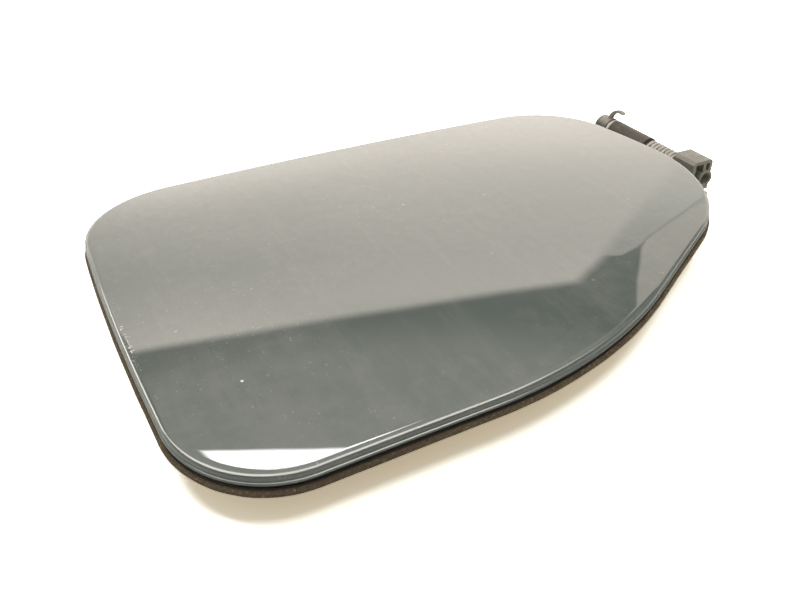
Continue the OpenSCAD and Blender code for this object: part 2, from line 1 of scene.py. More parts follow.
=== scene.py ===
"""Looks of a car's fuel door: painted skin, rubber rim seal, moulded carrier and sprung hinge.

Sizes in the sub-assemblies are millimetres, as the door is drawn, and become metres in the meshes.
Sizes in the finishes are metres, and their scales are cells or waves to the metre.
"""
import json
import logging
import math
from collections.abc import Callable
from dataclasses import dataclass, field
from enum import Enum

import bmesh
import bpy
from mathutils import Matrix, Vector, noise


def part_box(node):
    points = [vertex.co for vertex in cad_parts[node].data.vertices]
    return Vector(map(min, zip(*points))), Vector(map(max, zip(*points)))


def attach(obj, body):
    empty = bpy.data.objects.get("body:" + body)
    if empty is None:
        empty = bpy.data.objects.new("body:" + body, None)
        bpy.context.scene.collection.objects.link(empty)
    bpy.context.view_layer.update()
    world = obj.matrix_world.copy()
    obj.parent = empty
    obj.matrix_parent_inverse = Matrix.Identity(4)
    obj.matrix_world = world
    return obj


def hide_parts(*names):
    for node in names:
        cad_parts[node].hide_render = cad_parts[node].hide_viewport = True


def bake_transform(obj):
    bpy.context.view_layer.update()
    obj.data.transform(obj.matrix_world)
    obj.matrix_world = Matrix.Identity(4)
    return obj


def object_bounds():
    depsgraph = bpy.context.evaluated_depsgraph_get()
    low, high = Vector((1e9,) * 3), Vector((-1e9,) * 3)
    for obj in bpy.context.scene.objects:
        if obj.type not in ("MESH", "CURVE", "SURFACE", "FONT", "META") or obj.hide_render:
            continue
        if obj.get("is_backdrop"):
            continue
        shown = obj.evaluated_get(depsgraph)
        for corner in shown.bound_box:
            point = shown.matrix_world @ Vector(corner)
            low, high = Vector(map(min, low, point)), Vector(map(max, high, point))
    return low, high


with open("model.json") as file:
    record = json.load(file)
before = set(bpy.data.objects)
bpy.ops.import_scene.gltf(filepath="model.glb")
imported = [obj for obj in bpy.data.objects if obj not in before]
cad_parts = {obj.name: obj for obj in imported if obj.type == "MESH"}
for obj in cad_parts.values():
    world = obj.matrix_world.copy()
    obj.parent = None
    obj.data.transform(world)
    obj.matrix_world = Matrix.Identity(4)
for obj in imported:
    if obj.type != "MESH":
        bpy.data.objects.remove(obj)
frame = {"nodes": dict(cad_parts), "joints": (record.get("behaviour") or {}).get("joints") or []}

CAD_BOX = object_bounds()
MM = 0.001
LOG = logging.getLogger("fuel_door")

Colour = tuple[float, float, float]
Pair = tuple[float, float]
Place = tuple[float, float, float]
Material = bpy.types.Material
Mesh = bpy.types.Mesh
Node = bpy.types.Node
Piece = bpy.types.Object
Socket = bpy.types.NodeSocket
Sockets = dict[str, Socket]
Tree = bpy.types.NodeTree
Value = Socket | float
Inputs = dict[str, Value]


class Body(Enum):
    """The two rigid bodies that the hinge joins."""

    BRACKET = "bracket"
    DOOR = "door"


class Slot(Enum):
    """Material slots of the record."""

    PAINT = "paint"
    MOULDING = "moulding"
    SEAL = "seal"
    BUFFER = "buffer"
    HINGE = "hinge_plastic"
    PIN = "pin_steel"
    SPRING = "spring_steel"
    WASHER = "washer"
    SCREW = "screw_steel"


class Effect(Enum):
    """Surface effects that several finishes share."""

    SPECKS = "dust_specks"
    SMEARS = "wipe_smears"
    SETTLED = "settled_dust"
    GRAIN = "moulded_grain"
    FLECKS = "edge_flecks"


def say_built(piece: Piece) -> None:
    """Logs a finished piece with its size in faces."""
    LOG.info("built %s: %d faces", piece.name, len(piece.data.polygons))


def metres(*place: float) -> Vector:
    """Returns a place in millimetres as a vector in metres."""
    return Vector([c * MM for c in place])


def rgba(colour: Socket | Colour) -> Socket | tuple[float, ...]:
    """Returns a colour with full alpha, or a socket as it is."""
    return (*colour, 1.0) if isinstance(colour, tuple) else colour


class NodeSheet:
    """Adds and joins nodes in one node tree."""

    def __init__(self, tree: Tree) -> None:
        """Takes the tree that the nodes go into."""
        self.tree = tree

    def fill(self, node: Node, inputs: dict) -> None:
        """Sets or links inputs of a node.

        Args:
            node: The node.
            inputs: Socket name or index, to a value or an output socket.
        """
        for name, value in inputs.items():
            if isinstance(value, Socket):
                self.tree.links.new(value, node.inputs[name])
            else:
                node.inputs[name].default_value = value

    def add(self, kind: str, inputs: dict | None = None, **settings) -> Node:
        """Adds a node.

        Args:
            kind: Blender's name of the node type.
            inputs: Socket name or index, to a value or an output socket.
            **settings: Properties of the node itself.

        Returns:
            The new node.
        """
        node = self.tree.nodes.new(kind)
        for name, value in settings.items():
            setattr(node, name, value)
        self.fill(node, inputs or {})
        return node

    def math(self, operation: str, a: Value, b: Value = 0.0, clamp: bool = False) -> Socket:
        """Returns the output of a Math node on a and b."""
        return self.add("ShaderNodeMath", {0: a, 1: b}, operation=operation, use_clamp=clamp).outputs[0]

    def plus(self, a: Value, b: Value, clamp: bool = False) -> Socket:
        """Returns a plus b."""
        return self.math("ADD", a, b, clamp)

    def times(self, a: Value, b: Value, clamp: bool = False) -> Socket:
        """Returns a times b."""
        return self.math("MULTIPLY", a, b, clamp)

    def higher(self, a: Value, b: Value) -> Socket:
        """Returns the higher of a and b."""
        return self.math("MAXIMUM", a, b)

    def blend(self, share: Value, a: Socket | Colour, b: Socket | Colour) -> Socket:
        """Returns the colour between a and b at a share."""
        return self.add("ShaderNodeMix", {0: share, 6: rgba(a), 7: rgba(b)}, data_type="RGBA").outputs[2]

    def step(self, value: Socket, low: float, high: float, to_low: float = 0.0, to_high: float = 1.0) -> Socket:
        """Returns value mapped smoothly from low..high to to_low..to_high."""
        inputs = {"Value": value, "From Min": low, "From Max": high, "To Min": to_low, "To Max": to_high}
        return self.add("ShaderNodeMapRange", inputs, interpolation_type="SMOOTHSTEP").outputs["Result"]

    def noise(self, vector: Socket, scale: Value, detail: float = 2.0, rough: float = 0.5) -> Socket:
        """Returns the value of a noise texture."""
        inputs = {"Vector": vector, "Scale": scale, "Detail": detail, "Roughness": rough}
        return self.add("ShaderNodeTexNoise", inputs).outputs["Fac"]

    def turned(self, vector: Socket, angle: float, stretch: Place) -> Socket:
        """Returns a vector turned about Z by angle degrees and then scaled along each axis."""
        inputs = {"Vector": vector, "Rotation": (0.0, 0.0, math.radians(angle)), "Scale": stretch}
        return self.add("ShaderNodeMapping", inputs).outputs["Vector"]

    def part(self, vector: Socket, axis: str) -> Socket:
        """Returns the part of a vector along an axis."""
        return self.add("ShaderNodeSeparateXYZ", {0: vector}).outputs[axis]

    def compared(self, vector: Socket, other: Place | Vector, operation: str) -> Socket:
        """Returns the value of a Vector Math node on a vector and a fixed one."""
        inputs = {0: vector, 1: tuple(other)}
        return self.add("ShaderNodeVectorMath", inputs, operation=operation).outputs["Value"]

    def mark(self, name: str) -> Socket:
        """Returns a value that is stored on the mesh."""
        return self.add("ShaderNodeAttribute", attribute_name=name).outputs["Fac"]

    def bump(self, height: Socket, depth: float, strength: float = 1.0) -> Socket:
        """Returns the normal of a bump of the given depth in metres."""
        inputs = {"Height": height, "Distance": depth, "Strength": strength}
        return self.add("ShaderNodeBump", inputs).outputs["Normal"]

    def either(self, share: Socket, a: Node, b: Node) -> Node:
        """Returns the mix of shader a and shader b at a share."""
        return self.add("ShaderNodeMixShader", {0: share, 1: a.outputs[0], 2: b.outputs[0]})


def node_group(name: str, kind: str, inputs: dict[str, str], output: tuple[str, str], maker: Callable) -> Tree:
    """Builds a node group.

    Args:
        name: Name of the group.
        kind: Blender's name of the tree's type.
        inputs: Name and socket type of each input.
        output: Name and socket type of the one output.
        maker: Lays the nodes, from the node sheet and the inputs, and returns the output socket.

    Returns:
        The group.
    """
    tree = bpy.data.node_groups.new(name, kind)
    for label, socket_type in inputs.items():
        tree.interface.new_socket(name=label, in_out="INPUT", socket_type=socket_type)
    tree.interface.new_socket(name=output[0], in_out="OUTPUT", socket_type=output[1])
    sheet = NodeSheet(tree)
    sheet.add("NodeGroupOutput", {0: maker(sheet, sheet.add("NodeGroupInput").outputs)})
    return tree


class EffectLibrary:
    """Builds each shared effect once, as a shader node group, and places it in materials."""

    def __init__(self) -> None:
        """Names the maker and the inputs of each effect, which all have Vector too."""
        self._built: dict[Effect, Tree] = {}
        self._plans: dict[Effect, tuple[Callable, tuple[str, ...]]] = {
            Effect.SPECKS: (self._specks, ("Scale", "Size", "Share")),
            Effect.SMEARS: (self._smears, ("Scale", "Low", "High")),
            Effect.SETTLED: (self._settled, ("Normal", "Scale", "Amount")),
            Effect.GRAIN: (self._grain, ("Scale",)),
            Effect.FLECKS: (self._flecks, ("Scale", "Strength")),
        }

    def place(self, sheet: NodeSheet, effect: Effect, inputs: dict[str, Value]) -> Socket:
        """Places an effect in a material.

        Args:
            sheet: The material's node sheet.
            effect: Which effect.
            inputs: Values or sockets for the group's inputs.

        Returns:
            The group's output socket.
        """
        if effect not in self._built:
            self._built[effect] = self._group(effect)
        return sheet.add("ShaderNodeGroup", inputs, node_tree=self._built[effect]).outputs[0]

    def _group(self, effect: Effect) -> Tree:
        """Builds the node group of an effect.

        Args:
            effect: The effect, whose value names the group.

        Returns:
            The group, with one output.
        """
        maker, names = self._plans[effect]
        kinds = {"Vector": "NodeSocketVector", "Normal": "NodeSocketVector"}
        inputs = {name: kinds.get(name, "NodeSocketFloat") for name in ("Vector", *names)}
        output = "Height" if effect is Effect.GRAIN else "Mask"
        return node_group(effect.value, "ShaderNodeTree", inputs, (output, "NodeSocketFloat"), maker)

    def _specks(self, sheet: NodeSheet, given: Sockets) -> Socket:
        """Lays scattered round specks of dust.

        Args:
            sheet: The group's node sheet.
            given: The group's inputs.

        Returns:
            The mask.
        """
        cells = sheet.add("ShaderNodeTexVoronoi", {"Vector": given["Vector"], "Scale": given["Scale"]}).outputs
        pick = sheet.add("ShaderNodeSeparateColor", {"Color": cells["Color"]}).outputs
        never_zero = sheet.plus(sheet.times(given["Size"], pick["Red"]), 0.001)
        inside = sheet.math("DIVIDE", cells["Distance"], never_zero)
        kept = sheet.math("LESS_THAN", pick["Green"], given["Share"])
        return sheet.times(sheet.step(inside, 0.6, 1.0, 1.0, 0.0), kept)

    def _smears(self, sheet: NodeSheet, given: Sockets) -> Socket:
        """Lays cloudy marks that a hand or a cloth leaves.

        Args:
            sheet: The group's node sheet.
            given: The group's inputs.

        Returns:
            The mask.
        """
        cloud = sheet.noise(given["Vector"], given["Scale"], 4.0, 0.6)
        fine = sheet.noise(given["Vector"], sheet.times(given["Scale"], 9.0), 3.0, 0.6)
        both = sheet.plus(sheet.times(cloud, 0.75), sheet.times(fine, 0.25))
        span = sheet.math("SUBTRACT", given["High"], given["Low"])
        return sheet.math("DIVIDE", sheet.math("SUBTRACT", both, given["Low"]), span, clamp=True)

    def _settled(self, sheet: NodeSheet, given: Sockets) -> Socket:
        """Lays fine dust on faces that look up.

        Args:
            sheet: The group's node sheet.
            given: The group's inputs.

        Returns:
            The mask.
        """
        upward = sheet.step(sheet.part(given["Normal"], "Z"), 0.2, 0.95)
        patchy = sheet.step(sheet.noise(given["Vector"], given["Scale"], 4.0, 0.65), 0.3, 0.7, 0.35, 1.0)
        return sheet.times(sheet.times(upward, patchy), given["Amount"], clamp=True)

    def _grain(self, sheet: NodeSheet, given: Sockets) -> Socket:
        """Lays the fine pebbled grain of moulded plastic.

        Args:
            sheet: The group's node sheet.
            given: The group's inputs.

        Returns:
            The height.
        """
        cells = {"Vector": given["Vector"], "Scale": given["Scale"]}
        pebbles = sheet.add("ShaderNodeTexVoronoi", cells, feature="SMOOTH_F1")
        cloud = sheet.noise(given["Vector"], sheet.times(given["Scale"], 0.3))
        return sheet.plus(pebbles.outputs["Distance"], sheet.times(cloud, 0.6))

    def _flecks(self, sheet: NodeSheet, given: Sockets) -> Socket:
        """Lays small irregular chips, kept to where the strength is high.

        Args:
            sheet: The group's node sheet.
            given: The group's inputs.

        Returns:
            The mask.
        """
        rough = sheet.noise(given["Vector"], given["Scale"], 3.0, 0.7)
        return sheet.step(sheet.plus(rough, sheet.times(given["Strength"], 0.3)), 0.78, 0.84)


class FinishSheet(NodeSheet):
    """Node sheet of a material, with its coordinates and the shared effects."""

    def __init__(self, tree: Tree, effects: EffectLibrary) -> None:
        """Adds the coordinates.

        Args:
            tree: The material's tree.
            effects: The shared effects.
        """
        super().__init__(tree)
        self.effects = effects
        place = self.add("ShaderNodeTexCoord").outputs
        self.point, self.normal = place["Object"], place["Normal"]

    def effect(self, effect: Effect, **inputs: Value) -> Socket:
        """Returns the output of a shared effect, at the object's own point unless Vector says where."""
        return self.effects.place(self, effect, {"Vector": self.point, **inputs})


class Finish:
    """Base of every finish: a material whose Principled shader takes what the finish works out."""

    name: str

    def inputs(self, sheet: FinishSheet) -> Inputs:
        """Works out the finish.

        Args:
            sheet: The material's node sheet.

        Returns:
            The Principled shader's inputs.
        """
        raise NotImplementedError

    def material(self, effects: EffectLibrary) -> Material:
        """Builds the material.

        Args:
            effects: The shared effects.

        Returns:
            The material.
        """
        material = bpy.data.materials.new(self.name)
        material.use_nodes = True
        sheet = FinishSheet(material.node_tree, effects)
        sheet.fill(material.node_tree.nodes["Principled BSDF"], self.inputs(sheet))
        return material


@dataclass(frozen=True)
class PaintFinish(Finish):
    """Clear-coated body paint with the dust, dried spots and wipe marks of a used part."""

    name: str = "body_paint"
    colour: Colour = (0.087, 0.104, 0.091)
    haze: Colour = (0.27, 0.265, 0.24)
    speck: Colour = (0.50, 0.49, 0.45)
    chip: Colour = (0.80, 0.79, 0.75)
    chip_place: Place = (-0.17633, -0.07141, 0.01741)
    chip_r: float = 0.00045
    chip_soft: float = 0.8
    cloud_share: float = 0.34
    wipe_share: float = 0.23
    wipe_angle: float = 62.0
    fine_share: float = 0.8
    spot_share: float = 0.75
    haze_dulls: float = 0.5

    def inputs(self, sheet: FinishSheet) -> Inputs:
        """Works out the paint.

        Args:
            sheet: The material's node sheet.

        Returns:
            The Principled shader's inputs.
        """
        streaks = sheet.turned(sheet.point, self.wipe_angle, (1.0, 0.16, 1.0))
        cloudy = sheet.effect(Effect.SMEARS, Scale=24.0, Low=0.45, High=0.74)
        wiped = sheet.effect(Effect.SMEARS, Vector=streaks, Scale=90.0, Low=0.5, High=0.8)
        fine = sheet.effect(Effect.SPECKS, Scale=1000.0, Size=0.34, Share=0.4)
        dried = sheet.effect(Effect.SPECKS, Scale=330.0, Size=0.22, Share=0.2)
        worn = sheet.effect(Effect.FLECKS, Scale=1800.0, Strength=sheet.mark("worn"))
        film = sheet.times(wiped, self.wipe_share)
        haze = sheet.plus(sheet.times(cloudy, self.cloud_share), film, clamp=True)
        dusty = sheet.blend(haze, self.colour, self.haze)
        spots = sheet.times(sheet.plus(sheet.times(fine, self.fine_share), dried), cloudy)
        dotted = sheet.blend(sheet.times(spots, self.spot_share, clamp=True), dusty, self.speck)
        away = sheet.compared(sheet.point, self.chip_place, "DISTANCE")
        bare = sheet.higher(worn, sheet.step(away, self.chip_r * self.chip_soft, self.chip_r, 1.0, 0.0))
        lost = sheet.plus(sheet.times(haze, self.haze_dulls), bare, clamp=True)
        return {
            "Base Color": sheet.blend(bare, dotted, self.chip),
            "Roughness": 0.5,
            "Specular IOR Level": 0.15,
            "Coat Weight": sheet.math("SUBTRACT", 1.0, lost),
            "Coat Roughness": 0.012,
            "Coat IOR": 1.55,
        }


@dataclass(frozen=True)
class MouldedFinish(Finish):
    """Black moulded plastic with a fine grain and settled dust; its thick dust patches are partly painted
    light, for the pale glare on the lit finger and ear.
    """

    name: str = "black_moulding"
    colour: Colour = (0.030, 0.030, 0.029)
    dust: Colour = (0.30, 0.29, 0.25)
    dust_amount: float = 0.3
    dust_dulls: float = 0.18
    speck_share: float = 0.35
    caked_and_glare_least: float = 0.7
    roughness: float = 0.46
    grain_scale: float = 1500.0
    grain_depth: float = 0.00004
    grain_strength: float = 0.6
    specular: float = 0.5

    def inputs(self, sheet: FinishSheet) -> Inputs:
        """Works out the plastic.

        Args:
            sheet: The material's node sheet.

        Returns:
            The Principled shader's inputs.
        """
        settled = sheet.effect(Effect.SETTLED, Normal=sheet.normal, Scale=260.0, Amount=self.dust_amount)
        specks = sheet.effect(Effect.SPECKS, Scale=700.0, Size=0.3, Share=0.25)
        marks = sheet.effect(Effect.SMEARS, Scale=70.0, Low=0.45, High=0.75)
        grain = sheet.effect(Effect.GRAIN, Scale=self.grain_scale)
        lying = sheet.times(settled, sheet.math("SUBTRACT", 1.0, sheet.mark("wiped")))
        cover = sheet.plus(sheet.times(marks, 1.0 - self.caked_and_glare_least), self.caked_and_glare_least)
        loose = sheet.higher(lying, sheet.times(specks, self.speck_share * self.dust_amount))
        # Patches of thick dust, partly painted light: they also lighten the finger and ear where they glare
        # pale.
        dirt_and_light = sheet.higher(loose, sheet.times(sheet.mark("caked_and_glare"), cover))
        return {
            "Base Color": sheet.blend(dirt_and_light, self.colour, self.dust),
            "Roughness": sheet.plus(self.roughness, sheet.times(sheet.plus(marks, dirt_and_light), self.dust_dulls)),
            "Specular IOR Level": self.specular,
            "Normal": sheet.bump(grain, self.grain_depth, self.grain_strength),
        }


@dataclass(frozen=True)
class RubberFinish(Finish):
    """Dull rubber with a coat of speckled road dust that thickens along X, partly painted light that makes the
    strip lighter towards the hinge end, and painted shade on its top under the skin's edge.
    """

    name: str = "seal_rubber"
    colour: Colour = (0.034, 0.026, 0.015)
    dust: Colour = (0.24, 0.185, 0.105)
    speck: Colour = (0.40, 0.33, 0.215)
    painted_shade: Colour = (0.006, 0.005, 0.004)
    amount: float = 1.0
    dust_and_light_along_x: Pair = (-0.2, -0.03)
    dust_and_light_shares: Pair = (0.18, 0.54)
    patch_share: float = 0.5
    speck_share: float = 0.35
    rough_depth: float = 0.00012

    def inputs(self, sheet: FinishSheet) -> Inputs:
        """Works out the rubber.

        Args:
            sheet: The material's node sheet.

        Returns:
            The Principled shader's inputs.
        """
        patches = sheet.effect(Effect.SMEARS, Scale=160.0, Low=0.36, High=0.66)
        specks = sheet.effect(Effect.SPECKS, Scale=1500.0, Size=0.45, Share=0.35)
        grit = sheet.step(sheet.noise(sheet.point, 1700.0, 3.0, 0.7), 0.42, 0.66)
        # The dust coat thickens towards +X: partly real dust, partly painted light for the brighter hinge end.
        shares = (share * self.amount for share in self.dust_and_light_shares)
        spread = sheet.step(sheet.part(sheet.point, "X"), *self.dust_and_light_along_x, *shares)
        dirt_and_light = sheet.times(sheet.plus(sheet.times(patches, self.patch_share), grit), spread)
        brown = sheet.blend(dirt_and_light, self.colour, self.dust)
        dusty = sheet.blend(sheet.times(specks, self.speck_share * self.amount), brown, self.speck)
        return {
            # The seal's top face under the skin's overhang is painted near black as shade.
            "Base Color": sheet.blend(sheet.mark("shaded_top"), dusty, self.painted_shade),
            "Roughness": 0.82,
            "Specular IOR Level": 0.3,
            "Normal": sheet.bump(sheet.noise(sheet.point, 1400.0, 3.0, 0.7), self.rough_depth),
        }


@dataclass(frozen=True)
class MetalFinish(Finish):
    """Plated or oiled steel, with drawn scratches and dull spots."""

    name: str = "bright_steel"
    colour: Colour = (0.62, 0.60, 0.56)
    dull: Colour = (0.30, 0.27, 0.23)
    dull_amount: float = 0.35
    roughness: float = 0.3
    spots_roughen: float = 0.3
    metallic: float = 1.0
    scratch_depth: float = 0.00001

    def inputs(self, sheet: FinishSheet) -> Inputs:
        """Works out the metal.

        Args:
            sheet: The material's node sheet.

        Returns:
            The Principled shader's inputs.
        """
        drawn = sheet.noise(sheet.turned(sheet.point, 0.0, (1.0, 0.05, 1.0)), 2600.0, 2.0, 0.6)
        spots = sheet.effect(Effect.SMEARS, Scale=320.0, Low=0.42, High=0.68)
        return {
            "Base Color": sheet.blend(sheet.times(spots, self.dull_amount), self.colour, self.dull),
            "Metallic": self.metallic,
            "Roughness": sheet.plus(self.roughness, sheet.times(spots, self.spots_roughen)),
            "Normal": sheet.bump(drawn, self.scratch_depth, 0.5),
        }


FINISHES: dict[Slot, Finish] = {
    Slot.PAINT: PaintFinish(),
    Slot.MOULDING: MouldedFinish(dust_amount=0.25),
    Slot.HINGE: MouldedFinish(
        "hinge_plastic", (0.042, 0.036, 0.028), (0.48, 0.45, 0.38), 0.75, roughness=0.62, specular=0.3
    ),
    Slot.SEAL: RubberFinish(),
    Slot.BUFFER: RubberFinish("buffer_rubber", (0.02, 0.02, 0.02), amount=0.35),
    Slot.PIN: MetalFinish(),
    Slot.SPRING: MetalFinish(
        "spring_wire", (0.42, 0.40, 0.36), (0.32, 0.29, 0.24), roughness=0.6, metallic=0.2
    ),
    Slot.WASHER: MouldedFinish(
        "nylon", (0.62, 0.60, 0.52), (0.42, 0.38, 0.30), roughness=0.4, grain_depth=0.00001
    ),
    Slot.SCREW: MetalFinish("black_zinc", (0.16, 0.16, 0.155), (0.08, 0.08, 0.08), roughness=0.38),
}


class FinishShelf:
    """Keeps one finished material for each slot of the record."""

    def __init__(self, effects: EffectLibrary) -> None:
        """Builds every material."""
        self.materials = {slot: finish.material(effects) for slot, finish in FINISHES.items()}

    def dress(self, piece: Piece, slot: Slot) -> None:
        """Gives a piece the material of a slot.

        Args:
            piece: The piece.
            slot: The record's slot.
        """
        piece.data.materials.clear()
        piece.data.materials.append(self.materials[slot])


def new_piece(name: str, mesh: Mesh) -> Piece:
    """Links a new object to the scene.

    Args:
        name: Name of the object.
        mesh: Its mesh.

    Returns:
        The object.
    """
    piece = bpy.data.objects.new(name, mesh)
    bpy.context.scene.collection.objects.link(piece)
    return piece


def mesh_of(name: str, points: list, faces: list) -> Mesh:
    """Makes a smooth mesh, its faces turned outward.

    Args:
        name: Name of the mesh.
        points: Its points in metres.
        faces: The numbers of each face's points.

    Returns:
        The mesh.
    """
    mesh = bpy.data.meshes.new(name)
    mesh.from_pydata([tuple(p) for p in points], [], faces)
    solid = bmesh.new()
    solid.from_mesh(mesh)
    bmesh.ops.recalc_face_normals(solid, faces=solid.faces)
    solid.to_mesh(mesh)
    solid.free()
    mesh.polygons.foreach_set("use_smooth", [True] * len(mesh.polygons))
    return mesh


def store(mesh: Mesh, name: str, values: list[float]) -> None:
    """Stores a value for each point of a mesh under a name."""
    mesh.attributes.new(name, "FLOAT", "POINT").data.foreach_set("value", values)


def evaluated_mesh(piece: Piece) -> Mesh:
    """Returns a plain mesh of what a piece's modifiers make of it."""
    graph = bpy.context.evaluated_depsgraph_get()
    return bpy.data.meshes.new_from_object(piece.evaluated_get(graph), depsgraph=graph)


class GrownPieces:
    """Runs Geometry Nodes trees on a base mesh and turns the result into a plain piece."""

    kinds = {float: "NodeSocketFloat", int: "NodeSocketInt", Material: "NodeSocketMaterial"}

    def grow(self, name: str, base: Mesh, maker: Callable, values: dict) -> Piece:
        """Grows a piece.

        Args:
            name: Name of the finished piece.
            base: Mesh that the tree starts from.
            maker: What lays the tree's own nodes.
            values: The tree's named inputs, the material as Finish.

        Returns:
            A plain mesh object with no modifier.
        """
        carrier = new_piece(name + ".base", base)
        modifier = carrier.modifiers.new("grow", "NODES")
        modifier.node_group = self._tree(name, maker, values)
        for item in modifier.node_group.interface.items_tree:
            if item.item_type == "SOCKET" and item.in_out == "INPUT" and item.name in values:
                modifier[item.identifier] = values[item.name]
        grown = evaluated_mesh(carrier)
        carrier.modifiers.remove(modifier)
        bpy.data.objects.remove(carrier)
        grown.name = name
        return new_piece(name, grown)

    def _tree(self, name: str, maker: Callable, values: dict) -> Tree:
        """Builds a tree that ends in Realize Instances and Set Material.

        Args:
            name: Name of the piece that it grows.
            maker: What lays the tree's own nodes.
            values: The named inputs, whose kinds the sockets take.

        Returns:
            The tree.
        """
        def ended(sheet: NodeSheet, given: Sockets) -> Socket:
            """Returns what the maker's nodes give, realized and with its material."""
            real = sheet.add("GeometryNodeRealizeInstances", {0: maker(sheet, given).outputs[0]}).outputs[0]
            return sheet.add("GeometryNodeSetMaterial", {0: real, "Material": given["Finish"]}).outputs[0]

        shape = "NodeSocketGeometry"
        inputs = {"Geometry": shape} | {label: self.kinds[type(value)] for label, value in values.items()}
        return node_group(name + ".tree", "GeometryNodeTree", inputs, ("Geometry", shape), ended)

    def wire(self, sheet: NodeSheet, given: Sockets) -> Node:
        """Sweeps a round wire along the base mesh's edges.

        Args:
            sheet: The tree's node sheet.
            given: The tree's inputs.

        Returns:
            The node whose output is the wire.
        """
        path = sheet.add("GeometryNodeMeshToCurve", {"Mesh": given["Geometry"]}).outputs[0]
        ring = {"Resolution": given["Sides"], "Radius": given["Wire radius"]}
        section = sheet.add("GeometryNodeCurvePrimitiveCircle", ring).outputs["Curve"]
        round_wire = {"Curve": path, "Profile Curve": section, "Fill Caps": True}
        swept = sheet.add("GeometryNodeCurveToMesh", round_wire).outputs[0]
        return sheet.add("GeometryNodeSetShadeSmooth", {0: swept})

    def grit(self, sheet: NodeSheet, given: Sockets) -> Node:
        """Scatters small grains over the base mesh.

        Args:
            sheet: The tree's node sheet.
            given: The tree's inputs.

        Returns:
            The node whose output is the grains.
        """
        surface = {"Mesh": given["Geometry"], "Density": given["Density"], "Seed": given["Seed"]}
        spread = sheet.add("GeometryNodeDistributePointsOnFaces", surface)
        grain = sheet.add("GeometryNodeMeshIcoSphere", {"Radius": given["Grain radius"], "Subdivisions": 1})
        chance = {}
        flat, turns = ((0.4, 0.4, 0.3), (1.3, 1.0, 0.8)), ((0.0,) * 3, (6.28,) * 3)
        for use, (low, high) in (("Scale", flat), ("Rotation", turns)):
            drawn = sheet.add("FunctionNodeRandomValue", {"Min": low, "Max": high}, data_type="FLOAT_VECTOR")
            chance[use] = drawn.outputs[0]
        places = {"Points": spread.outputs["Points"], "Instance": grain.outputs["Mesh"], **chance}
        return sheet.add("GeometryNodeInstanceOnPoints", places)


@dataclass
class DoorOutline:
    """Plan of the door as rounded corners, with its crowned height."""

    length: float = 208.0
    width: float = 149.5
    near_free_r: float = 28.5
    far_free_r: float = 33.0
    far_hinge_r: float = 31.0
    near_hinge_r: float = 57.0
    free_end_r: float = 890.0
    arch_r: float = 140.0
    arch_angle: float = 29.4
    arch_start: float = 111.4
    hinge_end_lean: float = 6.5
    crown_len_r: float = 3000.0
    crown_w_r: float = 900.0
    sag: float = 0.004
    longest_step: float = 4.0
    bow_margin: float = 1.5
    hinge_end_past: float = 2.0
    middle: Place = field(init=False)
    points: list[tuple[float, float, float, float]] = field(init=False)

    def __post_init__(self) -> None:
        """Takes the door's place from the frame and works out its outline."""
        low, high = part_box("outer_skin")
        self.middle = (low.x / MM + self.length / 2, (low.y + high.y) / 2 / MM, high.z / MM)
        self.points = self._rounded(self._corners())

    def _corners(self) -> list[Place]:
        """Works out the outline's corners.

        Returns:
            Each corner and its radius, counter-clockwise.
        """
        half_len, half_w = self.length / 2, self.width / 2
        bow_reach = half_w - max(self.near_free_r, self.far_free_r) - self.bow_margin
        bow_turn = math.asin(bow_reach / self.free_end_r)
        bow_end = -half_len + self.free_end_r * (1 - math.cos(bow_turn))
        free_corner = bow_end + (half_w - bow_reach) * math.tan(bow_turn)
        arch_x = self.arch_start - half_len
        hinge_corner = half_len + self.hinge_end_past
        arch_end = -half_w + (hinge_corner - arch_x) * math.tan(math.radians(self.arch_angle))
        return [
            (free_corner, -half_w, self.near_free_r),
            (arch_x, -half_w, self.arch_r),
            (hinge_corner, arch_end, self.near_hinge_r),
            (hinge_corner - self.hinge_end_lean, half_w, self.far_hinge_r),
            (free_corner, half_w, self.far_free_r),
            (bow_end - bow_reach * math.tan(bow_turn), 0.0, self.free_end_r),
        ]

    def _rounded(self, corners: list[Place]) -> list[tuple[float, float, float, float]]:
        """Rounds the corners, and divides the straight lines between them.

        Args:
            corners: Each corner and its radius.

        Returns:
            Points of the outline, each with its outward normal.
        """
        arcs = []
        for i, (x, y, r) in enumerate(corners):
            before, after = corners[i - 1], corners[(i + 1) % len(corners)]
            come = Vector((x - before[0], y - before[1])).normalized()
            go = Vector((after[0] - x, after[1] - y)).normalized()
            turn = come.angle(go)
            start = Vector((x, y)) - come * r * math.tan(turn / 2)
            centre = start + Vector((-come.y, come.x)) * r
            first = math.atan2(-come.x, come.y)
            steps = max(2, math.ceil(turn / (2 * math.acos(1 - self.sag / r))))
            angles = [first + turn * k / steps for k in range(steps + 1)]
            normals = [(math.cos(a), math.sin(a)) for a in angles]
            arcs.append([(centre.x + r * nx, centre.y + r * ny, nx, ny) for nx, ny in normals])
        outline = []
        for arc, following in zip(arcs, arcs[1:] + arcs[:1]):
            outline += arc
            end, start = arc[-1][:2], following[0][:2]
            pieces = int(math.dist(end, start) / self.longest_step)
            for k in range(1, pieces + 1):
                share = k / (pieces + 1)
                place = [a + (b - a) * share for a, b in zip(end, start)]
                outline.append((*place, *arc[-1][2:]))
        return outline

    def crown(self, x: float, y: float) -> float:
        """Returns how far the crowned surface lies under its top, at a place from the middle."""
        return -x * x / (2 * self.crown_len_r) - y * y / (2 * self.crown_w_r)

    def ring(self, inset: float, drop: float, share: float = 1.0) -> list[Vector]:
        """Returns the outline as a ring of points in metres.

        Args:
            inset: Distance in from the edge.
            drop: Distance down from the crowned surface.
            share: Scale towards the middle of the door.

        Returns:
            Points in the part's frame.
        """
        found = []
        mid_x, mid_y, mid_z = self.middle
        for x, y, nx, ny in self.points:
            px, py = (x - nx * inset) * share, (y - ny * inset) * share
            found.append(metres(mid_x + px, mid_y + py, mid_z + self.crown(px, py) - drop))
        return found


